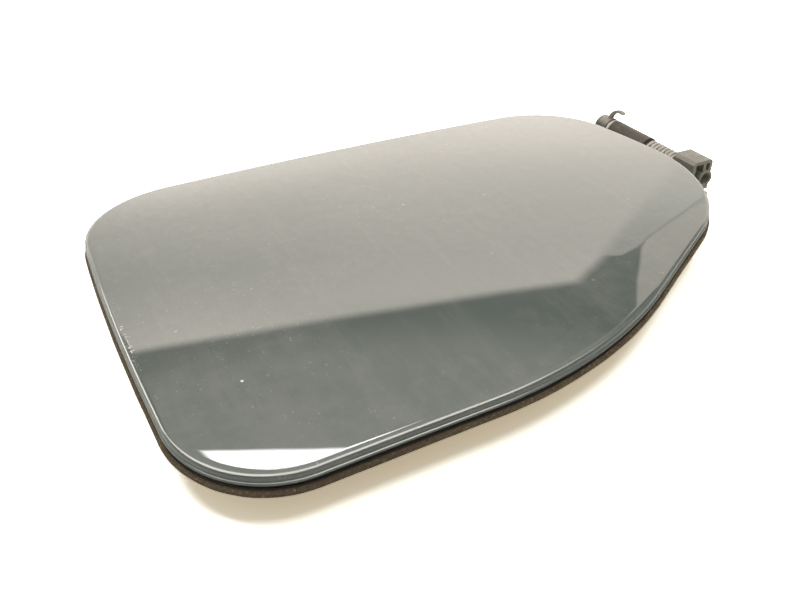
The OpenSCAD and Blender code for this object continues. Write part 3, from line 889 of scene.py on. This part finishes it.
def lofted(
    name: str, rings: list[list[Vector]], first: Vector | None = None, last: Vector | None = None
) -> Mesh:
    """Makes a closed mesh through rings of equal length.

    Args:
        name: Name of the mesh.
        rings: The rings, in order.
        first: Point that closes the first ring, or None for a band that closes on itself.
        last: Point that closes the last ring.

    Returns:
        The mesh, its faces outward.
    """
    count = len(rings[0])
    points = [p for ring in rings for p in ring]
    faces = []
    closed = first is None
    for j in range(len(rings) if closed else len(rings) - 1):
        below, above = j * count, ((j + 1) % len(rings)) * count
        for i in range(count):
            k = (i + 1) % count
            faces.append((below + i, below + k, above + k, above + i))
    if not closed:
        points += [first, last]
        top, bottom = len(points) - 2, len(points) - 1
        end = (len(rings) - 1) * count
        faces += [(top, (i + 1) % count, i) for i in range(count)]
        faces += [(bottom, end + i, end + (i + 1) % count) for i in range(count)]
    return mesh_of(name, points, faces)


@dataclass
class PaintedSkin:
    """Crowned outer skin with its rounded crease, folded edge and studs."""

    outline: DoorOutline
    thickness: float = 2.4
    edge_h: float = 3.2
    crease_in: float = 1.6
    crease_down: float = 1.25
    crease_steps: int = 14
    hem: tuple[Pair, ...] = (
        (0.02, 1.55), (0.07, 1.8), (0.13, 1.97), (0.14, 2.08), (0.09, 2.19), (-0.02, 2.3), (-0.14, 2.42),
        (-0.23, 2.53), (-0.28, 2.64), (-0.3, 2.76), (-0.28, 2.91), (-0.21, 3.05), (-0.08, 3.16), (0.08, 3.2),
    )
    top_innermost: float = 0.04
    top_span: float = 0.92
    top_rings: int = 34
    top_last: tuple[float, ...] = (0.97, 0.98, 0.988, 0.996)
    inner_round: float = 0.3
    inner_step: float = 0.5
    below: tuple[float, ...] = (0.98, 0.8, 0.6, 0.4, 0.2, 0.05)
    wave_depth: float = 0.005
    wave_length: float = 55.0
    stud_r: float = 1.5
    stud_sides: int = 24
    stud_tip: Pair = (0.9, 0.5)
    stud_shoulder: float = 2.3
    stud_sunk: float = 0.3
    sharp_from: float = 50.0
    worn_inset: float = 1.7
    worn_width: float = 2.0
    worn_middle: float = -15.0
    worn_length: float = 28.0

    def _rings(self) -> list[list[Vector]]:
        """Works out the skin's section.

        Returns:
            Its rings from the middle of the top, over the edge, to the middle below.
        """
        ring = self.outline.ring
        shares = [self.top_innermost + self.top_span * (k / self.top_rings) for k in range(self.top_rings + 1)]
        rings = [ring(self.crease_in, 0.0, share) for share in (*shares, *self.top_last)]
        for k in range(self.crease_steps + 1):
            a = math.pi / 2 * (1 - k / self.crease_steps)
            rings.append(ring(self.crease_in * (1 - math.cos(a)), self.crease_down * (1 - math.sin(a))))
        inner, low, rounding = self.thickness, self.edge_h, self.inner_round
        deepest = inner + self.inner_step
        inside = ((inner - rounding, low), (inner, low - rounding), (deepest, inner))
        rings += [ring(inset, drop) for inset, drop in (*self.hem, *inside)]
        return rings + [ring(deepest, inner, share) for share in self.below]

    def _wave(self, point: Vector) -> float:
        """Returns the slight waviness of the pressed sheet at a point, in metres."""
        scale = 1 / (self.wave_length * MM)
        return noise.noise(Vector((point.x * scale, point.y * scale, 0.5))) * self.wave_depth * MM

    def _mark_wear(self, mesh: Mesh) -> None:
        """Stores where the edge is worn: strongest along the free end's crease.

        Args:
            mesh: The skin's mesh.
        """
        half_len = self.outline.length / 2
        values = []
        for vertex in mesh.vertices:
            x, y = (vertex.co[k] / MM - self.outline.middle[k] for k in (0, 1))
            inset = x + half_len - y * y / (2 * self.outline.free_end_r)
            across = max(0.0, 1 - abs(inset - self.worn_inset) / self.worn_width)
            along = max(0.0, 1 - abs(y - self.worn_middle) / self.worn_length)
            values.append(across * along)
        store(mesh, "worn", values)

    def _stud(self, nut: str) -> tuple[list[Vector], list[tuple[int, ...]]]:
        """Turns the stud that a push nut grips.

        Args:
            nut: Node of the nut.

        Returns:
            The stud's points and faces.
        """
        low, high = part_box(nut)
        x, y = (low.x + high.x) / 2, (low.y + high.y) / 2
        mid, sides = self.outline.middle, self.stud_sides
        surface = mid[2] + self.outline.crown(x / MM - mid[0], y / MM - mid[1])
        roof = (surface - self.thickness + self.stud_sunk) * MM
        shoulder = high.z + self.stud_shoulder * MM
        tip, neck = (low.z - stick_out * MM for stick_out in self.stud_tip)
        profile = [(0.9, tip), (1.0, neck), (1.0, shoulder), (2.0, shoulder), (2.0, roof)]
        angles = [2 * math.pi * s / sides for s in range(sides)]
        points = []
        for share, z in profile:
            r = self.stud_r * share * MM
            points += [Vector((x + r * math.cos(a), y + r * math.sin(a), z)) for a in angles]
        last = (len(profile) - 1) * sides
        faces = []
        for start in range(0, last, sides):
            for s in range(sides):
                near, far = start + s, start + (s + 1) % sides
                faces.append((near, far, far + sides, near + sides))
        return points, faces + [tuple(range(sides)), tuple(range(last, last + sides))]

    def build(self, shelf: FinishShelf) -> Piece:
        """Builds the skin.

        Args:
            shelf: The finished materials.

        Returns:
            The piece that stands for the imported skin.
        """
        top = metres(*self.outline.middle)
        mesh = lofted("skin", self._rings(), top, top - Vector((0, 0, self.thickness * MM)))
        for vertex in mesh.vertices:
            vertex.co.z += self._wave(vertex.co) - self.wave_depth * MM
        points = [v.co.copy() for v in mesh.vertices]
        faces = [tuple(p.vertices) for p in mesh.polygons]
        for nut in sorted(n for n in frame["nodes"] if n.startswith("push_nut")):
            more, sides = self._stud(nut)
            faces += [tuple(len(points) + k for k in side) for side in sides]
            points += more
        whole = mesh_of("painted_skin", points, faces)
        whole.set_sharp_from_angle(angle=math.radians(self.sharp_from))
        self._mark_wear(whole)
        piece = new_piece("painted_skin", whole)
        shelf.dress(piece, Slot.PAINT)
        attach(piece, Body.DOOR.value)
        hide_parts("outer_skin")
        say_built(piece)
        return piece


@dataclass
class RimSeal:
    """Rubber strip that grips the carrier's edge and stands out past the door."""

    outline: DoorOutline
    grip: float = 1.05
    reach: float = 1.08
    top: float = 5.0
    lip_top: float = 4.6
    lip_h: float = 1.7
    floor: float = 6.1
    hook_t: float = 0.8
    hook_w: float = 3.0
    unevenness: float = 0.12
    shelter_from: float = 0.1
    shelf_in: float = 0.75
    nose_steps: int = 8
    rough_scales: Pair = (60.0, 260.0)
    grit_density: float = 160000.0
    grit_seed: int = 11
    grit_r: float = 0.1
    sharp_from: float = 50.0

    def _section(self) -> list[Pair]:
        """Draws the strip's section.

        Returns:
            Its corners as inset and drop, the shelf's three first and then the lip's nose.
        """
        r = self.lip_h / 2
        nose = [
            (-self.reach + r - r * math.sin(a), self.lip_top + r - r * math.cos(a))
            for a in [math.pi * k / self.nose_steps for k in range(self.nose_steps + 1)]
        ]
        under = self.floor + self.hook_t
        inner = self.grip + self.hook_w
        shelf = [(self.grip, self.top), (self.shelf_in, self.top), (self.shelter_from, self.lip_top)]
        return shelf + nose + [(self.grip, under), (inner, under), (inner, self.floor), (self.grip, self.floor)]

    def build(self, shelf: FinishShelf, pieces: GrownPieces) -> list[Piece]:
        """Builds the strip and the grit on it.

        Args:
            shelf: The finished materials.
            pieces: What grows the grit.

        Returns:
            Both pieces.
        """
        section = self._section()
        rings = [self.outline.ring(inset, drop) for inset, drop in section]
        mid = metres(*self.outline.middle)
        coarse, fine = self.rough_scales
        for ring in rings[3:4 + self.nose_steps]:
            for p in ring:
                away = Vector((p.x - mid.x, p.y - mid.y, 0)).normalized()
                rough = noise.noise(p * coarse) + 0.5 * noise.noise(p * fine)
                p += away * (rough - 1.0) * self.unevenness * MM
        mesh = lofted("seal", rings)
        mesh.set_sharp_from_angle(angle=math.radians(self.sharp_from))
        # Marks the shelf under the skin's edge, which the seal's finish paints dark as shade.
        in_shade = [float(inset >= self.shelter_from and drop <= self.top) for inset, drop in section]
        store(mesh, "shaded_top", [h for h in in_shade for _ in rings[0]])
        strip = new_piece("seal_strip", mesh)
        shelf.dress(strip, Slot.SEAL)
        values = {"Density": self.grit_density, "Seed": self.grit_seed, "Grain radius": self.grit_r * MM}
        values["Finish"] = shelf.materials[Slot.SEAL]
        grit = pieces.grow("seal_grit", mesh.copy(), pieces.grit, values)
        for piece in (strip, grit):
            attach(piece, Body.DOOR.value)
            say_built(piece)
        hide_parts("rim_seal")
        return [strip, grit]


@dataclass(frozen=True)
class DustAndGlarePatch:
    """Box, in millimetres, in which thick dust, partly painted glare, lightens the plastic by a share."""

    low: Place
    high: Place
    share: float

    def at(self, point: Vector) -> float:
        """Returns the share at a point of the part's frame."""
        inside = all(a <= c / MM <= b for a, c, b in zip(self.low, point, self.high))
        return self.share if inside else 0.0


@dataclass
class SoftenedPart:
    """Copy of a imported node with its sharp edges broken, as a mould or a die leaves them."""

    node: str
    slot: Slot
    body: Body
    edge: float = 0.2
    rounds: int = 2
    wiped: float = 0.0
    caked_and_glare: tuple[DustAndGlarePatch, ...] = ()
    same_point: float = 0.002
    flat_within: float = 0.6
    bevel_from: float = 40.0
    sharp_from: float = 38.0

    def _mark_dust_and_glare(self, mesh: Mesh) -> None:
        """Stores where dust was wiped off, and where thick dust and painted glare lighten the plastic.

        Args:
            mesh: The copy's mesh.
        """
        store(mesh, "wiped", [self.wiped] * len(mesh.vertices))
        shares = [max([patch.at(v.co) for patch in self.caked_and_glare], default=0.0) for v in mesh.vertices]
        store(mesh, "caked_and_glare", shares)

    def _changed(self, piece: Piece, kind: str, **settings) -> None:
        """Runs a modifier on a piece and leaves a plain mesh.

        Args:
            piece: The piece.
            kind: Blender's name of the modifier's type.
            **settings: Properties of the modifier.
        """
        modifier = piece.modifiers.new(kind.lower(), kind)
        for name, value in settings.items():
            setattr(modifier, name, value)
        piece.data = evaluated_mesh(piece)
        piece.modifiers.clear()

    def build(self, shelf: FinishShelf) -> Piece:
        """Builds the copy and has it stand for its node.

        Args:
            shelf: The finished materials.

        Returns:
            The new piece.
        """
        solid = bmesh.new()
        solid.from_mesh(frame["nodes"][self.node].data)
        bmesh.ops.remove_doubles(solid, verts=solid.verts, dist=self.same_point * MM)
        limit = math.radians(self.flat_within)
        bmesh.ops.dissolve_limit(solid, angle_limit=limit, verts=solid.verts, edges=solid.edges)
        mesh = bpy.data.meshes.new(self.node + "_finished")
        solid.to_mesh(mesh)
        solid.free()
        piece = new_piece(self.node + "_finished", mesh)
        if self.edge > 0:
            limit = math.radians(self.bevel_from)
            self._changed(piece, "BEVEL", width=self.edge * MM, segments=self.rounds, angle_limit=limit)
        piece.data.polygons.foreach_set("use_smooth", [True] * len(piece.data.polygons))
        piece.data.set_sharp_from_angle(angle=math.radians(self.sharp_from))
        self._changed(piece, "WEIGHTED_NORMAL", keep_sharp=True)
        if self.wiped > 0 or self.caked_and_glare:
            self._mark_dust_and_glare(piece.data)
        shelf.dress(piece, self.slot)
        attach(piece, self.body.value)
        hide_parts(self.node)
        say_built(piece)
        return piece


@dataclass
class TorsionSpring:
    """Close coil round the hinge pin, with a tang in the ear and a leg on the bracket's foot."""

    turns: int = 9
    wire_d: float = 1.3
    coil_r: float = 3.3
    start_y: float = -18.0
    end_y: float = 0.2
    tang: float = 4.0
    side_play: float = 0.3
    leg_len: float = 19.0
    leg_z: float = 3.15
    steps: int = 40
    wire_sides: int = 14
    leg_bends: tuple[Pair, ...] = ((2.0, 0.12), (4.0, 0.5), (6.0, 0.76), (8.0, 0.88), (10.5, 1.0))
    held: Pair = (1.0, 0.6)

    def _path(self) -> list[Vector]:
        """Lays the wire's path: tang, helix, then the leg down to the foot.

        Returns:
            Its points in metres.
        """
        pin = Vector(frame["joints"][0]["pos_m"]) / MM
        count = self.turns + 0.5
        start = self.start_y - self.wire_d / 2 - self.tang + self.side_play
        path = [Vector((pin.x, start + self.tang * k / 4, pin.z + self.coil_r)) for k in range(4)]
        for k in range(int(self.steps * count) + 1):
            t = k / self.steps
            a = math.radians(90 - 360 * t)
            y = self.start_y + (self.end_y - self.start_y) * t / count
            path.append(Vector((pin.x + self.coil_r * math.cos(a), y, pin.z + self.coil_r * math.sin(a))))
        drop = self.leg_z - pin.z + self.coil_r
        for along, share in (*self.leg_bends, (self.leg_len, 1.0)):
            path.append(Vector((pin.x - along, self.end_y, pin.z - self.coil_r + drop * share)))
        return [p * MM for p in path]

    def build(self, shelf: FinishShelf, pieces: GrownPieces) -> Piece:
        """Builds the spring, which winds between the bracket and the door.

        Args:
            shelf: The finished materials.
            pieces: What grows the wire.

        Returns:
            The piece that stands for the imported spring.
        """
        path = self._path()
        base = bpy.data.meshes.new("spring_path")
        base.from_pydata([tuple(p) for p in path], [(k, k + 1) for k in range(len(path) - 1)], [])
        values = {"Wire radius": self.wire_d / 2 * MM, "Sides": self.wire_sides}
        values["Finish"] = shelf.materials[Slot.SPRING]
        piece = pieces.grow("spring_coil", base, pieces.wire, values)
        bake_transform(piece)
        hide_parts("torsion_spring")
        say_built(piece)
        return piece


def stage_material(name: str) -> tuple[Material, NodeSheet]:
    """Starts a material of the stage with no nodes.

    Args:
        name: Name of the material.

    Returns:
        The material and its node sheet.
    """
    material = bpy.data.materials.new(name)
    material.use_nodes = True
    material.node_tree.nodes.clear()
    return material, NodeSheet(material.node_tree)


@dataclass
class StudioCard:
    """A flat card behind the door that its paint mirrors, brighter or darker along its height."""

    name: str
    shape: tuple[Pair, ...]
    away: float
    left: tuple[Pair, ...]
    right: tuple[Pair, ...]
    tint: Colour = (1.0, 0.91, 0.82)
    top: float = 1.25
    brightest: float = 5.0
    across: Pair = (-0.55, 0.05)
    dim_from: float = -0.45
    dim_to: float = -0.85
    dim: float = 0.72
    soft: float = 0.05

    def _levels(self, sheet: NodeSheet, rise: Socket, stops: tuple[Pair, ...]) -> Socket:
        """Lays the brightness along the card's height.

        Args:
            sheet: The material's node sheet.
            rise: Height as a share of the card's top.
            stops: Heights and the levels there.

        Returns:
            The brightness, as a share of the brightest.
        """
        ramp = sheet.add("ShaderNodeValToRGB", {"Fac": rise})
        marks = ramp.color_ramp.elements
        marks.remove(marks[1])
        for k, (height, level) in enumerate(stops):
            mark = marks.new(height / self.top) if k else marks[0]
            mark.position = height / self.top
            mark.color = (*(level / self.brightest,) * 3, 1.0)
        return ramp.outputs["Color"]

    def material(self) -> Material:
        """Makes the card's light, which only mirrored rays see.

        Returns:
            The material.
        """
        material, sheet = stage_material(self.name)
        place = sheet.add("ShaderNodeAttribute", attribute_name="place").outputs["Vector"]
        aside = sheet.part(place, "X")
        rise = sheet.math("DIVIDE", sheet.part(place, "Y"), self.top, clamp=True)
        ends = (self._levels(sheet, rise, stops) for stops in (self.left, self.right))
        level = sheet.times(sheet.blend(sheet.step(aside, *self.across), *ends), self.brightest)
        strength = sheet.times(level, sheet.step(aside, self.dim_to, self.dim_from, self.dim, 1.0))
        glow = sheet.add("ShaderNodeEmission", {"Color": rgba(self.tint), "Strength": strength})
        ray = sheet.add("ShaderNodeLightPath").outputs["Is Glossy Ray"]
        shown = sheet.times(ray, sheet.step(sheet.mark("solid"), 0.0, 1.0))
        seen = sheet.either(shown, sheet.add("ShaderNodeBsdfTransparent"), glow)
        sheet.add("ShaderNodeOutputMaterial", {"Surface": seen.outputs[0]})
        return material

    def _moved(self, by: float) -> list[Pair]:
        """Moves every side of the card outward.

        Args:
            by: The distance.

        Returns:
            The new corners.
        """
        found = []
        count = len(self.shape)
        for k, corner in enumerate(self.shape):
            here = Vector(corner)
            come = (here - Vector(self.shape[k - 1])).normalized()
            go = (Vector(self.shape[(k + 1) % count]) - here).normalized()
            out = Vector((come.y, -come.x)) + Vector((go.y, -go.x))
            found.append(tuple(here + out * by / max(0.5, 1 + come.dot(go))))
        return found

    def build(self, middle: Vector, right: Vector, ahead: Vector) -> Piece:
        """Stands the card up.

        Args:
            middle: Place on the floor that the card is measured from.
            right: Level direction along the card.
            ahead: Level direction from the middle to the card.

        Returns:
            The card.
        """
        count = len(self.shape)
        flat = self._moved(-self.soft / 2) + self._moved(self.soft / 2)
        points = [middle + right * s + ahead * self.away + Vector((0, 0, h)) for s, h in flat]
        rim = [(k, (k + 1) % count, count + (k + 1) % count, count + k) for k in range(count)]
        mesh = mesh_of(self.name, points, [tuple(range(count))] + rim)
        place = mesh.attributes.new("place", "FLOAT_VECTOR", "POINT")
        place.data.foreach_set("vector", [c for s, h in flat for c in (s, h, 0.0)])
        store(mesh, "solid", [1.0] * count + [0.0] * count)
        piece = new_piece(self.name, mesh)
        piece.data.materials.append(self.material())
        piece.visible_camera = piece.visible_shadow = piece.visible_diffuse = False
        piece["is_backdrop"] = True
        return piece


def studio_cards() -> tuple[StudioCard, ...]:
    """Draws the cards: the pale wall, the two strips at its right, and the bright lamp above.

    Returns:
        The cards.
    """
    wall = (
        (-1.7, -0.05), (0.66, -0.05), (0.549, 0.43), (0.497, 0.65), (0.470, 0.78), (0.460, 0.86),
        (0.425, 0.955), (0.243, 0.994), (0.0, 1.044), (-0.376, 1.10), (-0.675, 1.134), (-1.7, 1.16),
    )
    left_strip = (
        (0.40, -0.05), (0.932, -0.05), (0.641, 0.605), (0.599, 0.695), (0.553, 0.780), (0.540, 0.812),
        (0.510, 0.849), (0.40, 0.853),
    )
    right_strip = (
        (0.928, -0.05), (1.9, -0.05), (1.9, 1.25), (0.66, 1.25), (0.634, 1.175), (0.615, 1.08), (0.579, 0.959),
        (0.566, 0.891), (0.549, 0.822), (0.550, 0.781), (0.596, 0.694), (0.639, 0.603),
    )
    lamp = (
        (-0.568, 1.763), (-0.258, 1.801), (-0.113, 1.813), (0.2, 1.87), (0.2, 2.5), (-0.1, 2.5),
        (-0.476, 1.933), (-0.536, 1.862),
    )
    at_left = ((0.38, 2.95), (0.47, 2.3), (0.56, 1.97), (0.78, 2.05), (0.95, 2.9), (1.12, 4.5))
    at_right = ((0.38, 2.6), (0.48, 2.4), (0.64, 2.5), (0.80, 2.8), (0.97, 3.6))
    by_line = ((0.3, 2.2), (0.6, 2.1), (0.8, 1.7))
    by_edge = ((0.3, 2.0), (0.7, 2.0), (0.95, 2.2), (1.2, 2.2))
    even_lamp = ((0.5, 22.0),)
    return (
        StudioCard("wall_card", wall, 1.2, at_left, at_right),
        StudioCard("left_card", left_strip, 1.21, by_line, by_line, tint=(1.0, 0.93, 0.84), soft=0.012),
        StudioCard("right_card", right_strip, 1.21, by_edge, by_edge, tint=(1.0, 0.89, 0.79), soft=0.012),
        StudioCard(
            "lamp_card", lamp, 1.2, even_lamp, even_lamp, (1.0, 1.0, 1.0), brightest=22.0, dim=1.0, soft=0.03
        ),
    )


@dataclass(frozen=True)
class Lamp:
    """A wide soft lamp far away, by its strength and its place in the sky in degrees."""

    strength: float
    azimuth: float
    height: float
    width: float

    def hang(self, name: str) -> None:
        """Adds the lamp to the scene.

        Args:
            name: Name of the lamp.
        """
        data = bpy.data.lights.new(name, "SUN")
        data.energy = self.strength
        data.angle = math.radians(self.width)
        lamp = bpy.data.objects.new(name, data)
        lamp.visible_glossy = False
        a, h = math.radians(self.azimuth), math.radians(self.height)
        towards = Vector((math.cos(a) * math.cos(h), math.sin(a) * math.cos(h), math.sin(h)))
        lamp.rotation_euler = towards.to_track_quat("Z", "Y").to_euler()
        bpy.context.scene.collection.objects.link(lamp)


@dataclass
class Studio:
    """Floor, mirrored cards, lamps, white surround and the camera."""

    focal_px: float = 815.3
    picture_w: float = 800.0
    yaw: float = 27.791
    pitch: float = 34.412
    roll: float = 0.235
    eye: Place = (-213.334, -223.613, 145.467)
    door_middle: Pair = (-95.0, -29.3)
    key: Lamp = Lamp(1.55, 135.0, 68.0, 18.0)
    fill: Lamp = Lamp(1.05, -50.0, 76.0, 18.0)
    ambient: float = 0.30
    mirrored_mid: float = 1.2
    mirrored_high: float = 0.65
    arch_tilt: float = 55.0
    arch_inner: Pair = (54.0, 60.0)
    arch_outer: Pair = (82.0, 95.0)
    arch_level: float = 12.0
    arch_side: Pair = (0.70, 0.86)
    arch_side_share: float = 0.3
    arch_low: Pair = (0.30, 0.58)
    arch_low_share: float = 0.08
    lobe_way: Place = (-0.84, 0.382, 0.384)
    lobe: Pair = (0.945, 0.985)
    lobe_share: float = 0.8
    mid_rise: Pair = (0.635, 0.715)
    high_rise: Pair = (0.69, 0.83)
    ambient_tint: Colour = (1.0, 0.98, 0.95)
    mirrored_tint: Colour = (1.0, 0.93, 0.86)
    floor_reach: float = 4.0
    floor_drop: float = 0.02
    floor_lit: Colour = (1.6, 1.7, 1.7)
    floor_glow: Colour = (0.39, 0.31, 0.19)
    floor_paper: Colour = (0.80, 0.78, 0.74)
    cards: tuple[StudioCard, ...] = field(default_factory=studio_cards)

    def _axes(self) -> tuple[Vector, Vector]:
        """Returns the level directions to the right of the view and away from it."""
        a = math.radians(self.yaw)
        return Vector((math.cos(a), -math.sin(a), 0)), Vector((math.sin(a), math.cos(a), 0))

    def camera(self) -> None:
        """Places the camera at the photograph's view."""
        right, ahead = self._axes()
        tilt, roll = math.radians(self.pitch), math.radians(self.roll)
        look = ahead * math.cos(tilt) - Vector((0, 0, math.sin(tilt)))
        up = right.cross(look)
        side = right * math.cos(roll) + up * math.sin(roll)
        top = up * math.cos(roll) - right * math.sin(roll)
        data = bpy.data.cameras.new("view")
        data.sensor_width = 36.0
        data.lens = self.focal_px / self.picture_w * data.sensor_width
        data.clip_start = 0.01
        camera = bpy.data.objects.new("view", data)
        camera.matrix_world = Matrix((side, top, -look)).transposed().to_4x4()
        camera.location = Vector(self.eye) * MM
        bpy.context.scene.collection.objects.link(camera)
        bpy.context.scene.camera = camera

    def _floor(self) -> None:
        """Lays the pale floor, white to the camera, with a warm shadow."""
        size, low = self.floor_reach, -self.floor_drop * MM
        corners = [(x * size, y * size, low) for x, y in ((-1, -1), (1, -1), (1, 1), (-1, 1))]
        floor = new_piece("floor", mesh_of("floor", corners, [(0, 1, 2, 3)]))
        material, sheet = stage_material("floor_paper")
        colours = (self.floor_lit, self.floor_paper)
        lit, paper = (sheet.add("ShaderNodeBsdfDiffuse", {"Color": rgba(colour)}) for colour in colours)
        glow = sheet.add("ShaderNodeEmission", {"Color": rgba(self.floor_glow), "Strength": 1.0})
        seen = sheet.add("ShaderNodeAddShader", {0: lit.outputs[0], 1: glow.outputs[0]})
        ray = sheet.add("ShaderNodeLightPath").outputs["Is Camera Ray"]
        sheet.add("ShaderNodeOutputMaterial", {"Surface": sheet.either(ray, paper, seen).outputs[0]})
        floor.data.materials.append(material)
        floor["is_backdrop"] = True

    def _cards(self) -> None:
        """Stands up the cards whose reflections shape the paint's light and dark."""
        right, ahead = self._axes()
        middle = metres(*self.door_middle, 0)
        for card in self.cards:
            card.build(middle, right, ahead)

    def _arch(self, sheet: NodeSheet, direction: Socket) -> Socket:
        """Lays the bright arch of lamps over the camera, which the door's rounded edges mirror.

        Args:
            sheet: The world's node sheet.
            direction: The direction that is looked in.

        Returns:
            The brightness.
        """
        right, ahead = self._axes()
        tilt = math.radians(self.arch_tilt)
        middle = ahead * math.cos(tilt) + Vector((0, 0, math.sin(tilt)))
        toward = sheet.compared(direction, middle, "DOT_PRODUCT")
        angle = sheet.math("DEGREES", sheet.math("ARCCOSINE", toward))
        inner = sheet.step(angle, *self.arch_inner)
        outer = sheet.step(angle, *self.arch_outer, 1.0, 0.0)
        aside = sheet.compared(direction, right, "DOT_PRODUCT")
        level = sheet.step(aside, *self.arch_side, self.arch_level, self.arch_side_share * self.arch_level)
        over, onward, up = self.lobe_way
        lobe = (ahead * onward + right * over + Vector((0, 0, up))).normalized()
        upper = sheet.step(sheet.part(direction, "Z"), *self.arch_low, self.arch_low_share, 1.0)
        beside = sheet.step(sheet.compared(direction, lobe, "DOT_PRODUCT"), *self.lobe, 0.0, self.lobe_share)
        ring = sheet.times(sheet.times(inner, outer), sheet.higher(upper, beside))
        return sheet.times(ring, level)

    def _surround(self) -> None:
        """Makes the world: white to the camera, dim to rough faces, and a shaped sky to mirrored rays."""
        world = bpy.data.worlds.new("surround")
        world.use_nodes = True
        world.node_tree.nodes.clear()
        bpy.context.scene.world = world
        sheet = NodeSheet(world.node_tree)
        direction = sheet.add("ShaderNodeTexCoord").outputs["Generated"]
        height = sheet.part(direction, "Z")
        mid = sheet.step(height, *self.mid_rise, 0.0, self.mirrored_mid)
        sky = sheet.plus(mid, sheet.step(height, *self.high_rise, 0.0, self.mirrored_high))
        mirrored = sheet.higher(sky, self._arch(sheet, direction))
        looks = ((self.ambient_tint, self.ambient), (self.mirrored_tint, mirrored), ((1.0, 1.0, 1.0), 1.0))
        soft, shaped, white = (
            sheet.add("ShaderNodeBackground", {"Color": rgba(tint), "Strength": level}) for tint, level in looks
        )
        ray = sheet.add("ShaderNodeLightPath").outputs
        shiny = sheet.higher(ray["Is Glossy Ray"], ray["Is Transmission Ray"])
        seen = sheet.either(ray["Is Camera Ray"], sheet.either(shiny, soft, shaped), white)
        sheet.add("ShaderNodeOutputWorld", {"Surface": seen.outputs[0]})

    def build(self) -> None:
        """Builds the whole studio."""
        self.camera()
        self._floor()
        self._cards()
        self.key.hang("key")
        self.fill.hang("fill")
        self._surround()
        bpy.context.scene.view_settings.view_transform = "Standard"
        LOG.info("studio ready with %d cards", len(self.cards))


def plain_parts() -> list[SoftenedPart]:
    """Lists the parts whose packed form is right and only needs its edges broken.

    Returns:
        The parts.
    """
    # The finger and the ear get thick dust that is partly painted glare, lightening them.
    finger = DustAndGlarePatch((15.0, 8.0, 14.2), (22.0, 47.0, 25.0), 1.0)
    ear = DustAndGlarePatch((2.0, -45.0, 0.0), (30.0, -18.5, 25.0), 0.75)
    parts = [
        SoftenedPart("inner_carrier", Slot.MOULDING, Body.DOOR, 0.15),
        SoftenedPart("hinge_arm", Slot.HINGE, Body.DOOR, 0.3, 3, caked_and_glare=(finger, ear)),
        SoftenedPart("hinge_bracket", Slot.HINGE, Body.BRACKET, 0.3, wiped=0.85),
        SoftenedPart("hinge_pin", Slot.PIN, Body.BRACKET, 0.12),
        SoftenedPart("spacer_washer", Slot.WASHER, Body.BRACKET, 0.15),
        SoftenedPart("latch_striker", Slot.MOULDING, Body.DOOR, 0.3),
        SoftenedPart("tether_peg", Slot.MOULDING, Body.DOOR, 0.2),
    ]
    families = {
        "bracket_sleeve": (Slot.PIN, Body.BRACKET, 0.1),
        "arm_screw": (Slot.SCREW, Body.DOOR, 0.1),
        "striker_screw": (Slot.SCREW, Body.DOOR, 0.1),
        "buffer": (Slot.BUFFER, Body.DOOR, 0.0),
        "push_nut": (Slot.SPRING, Body.DOOR, 0.05),
    }
    for name in sorted(frame["nodes"]):
        family = families.get(name.rsplit("_", 1)[0])
        if family:
            parts.append(SoftenedPart(name, *family))
    return parts


def write_sizes() -> None:
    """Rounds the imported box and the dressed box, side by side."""
    boxes = {"cad": CAD_BOX, "visual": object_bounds()}
    plain = {name: [[round(c, 6) for c in corner] for corner in box] for name, box in boxes.items()}


def main() -> None:
    """Builds the studio and the fuel door, piece by piece."""
    logging.basicConfig(level=logging.INFO, format="%(name)s: %(message)s")
    Studio().build()
    shelf = FinishShelf(EffectLibrary())
    pieces = GrownPieces()
    outline = DoorOutline()
    PaintedSkin(outline).build(shelf)
    RimSeal(outline).build(shelf, pieces)
    TorsionSpring().build(shelf, pieces)
    for part in plain_parts():
        part.build(shelf)
    write_sizes()


if __name__ == "__main__":
    main()
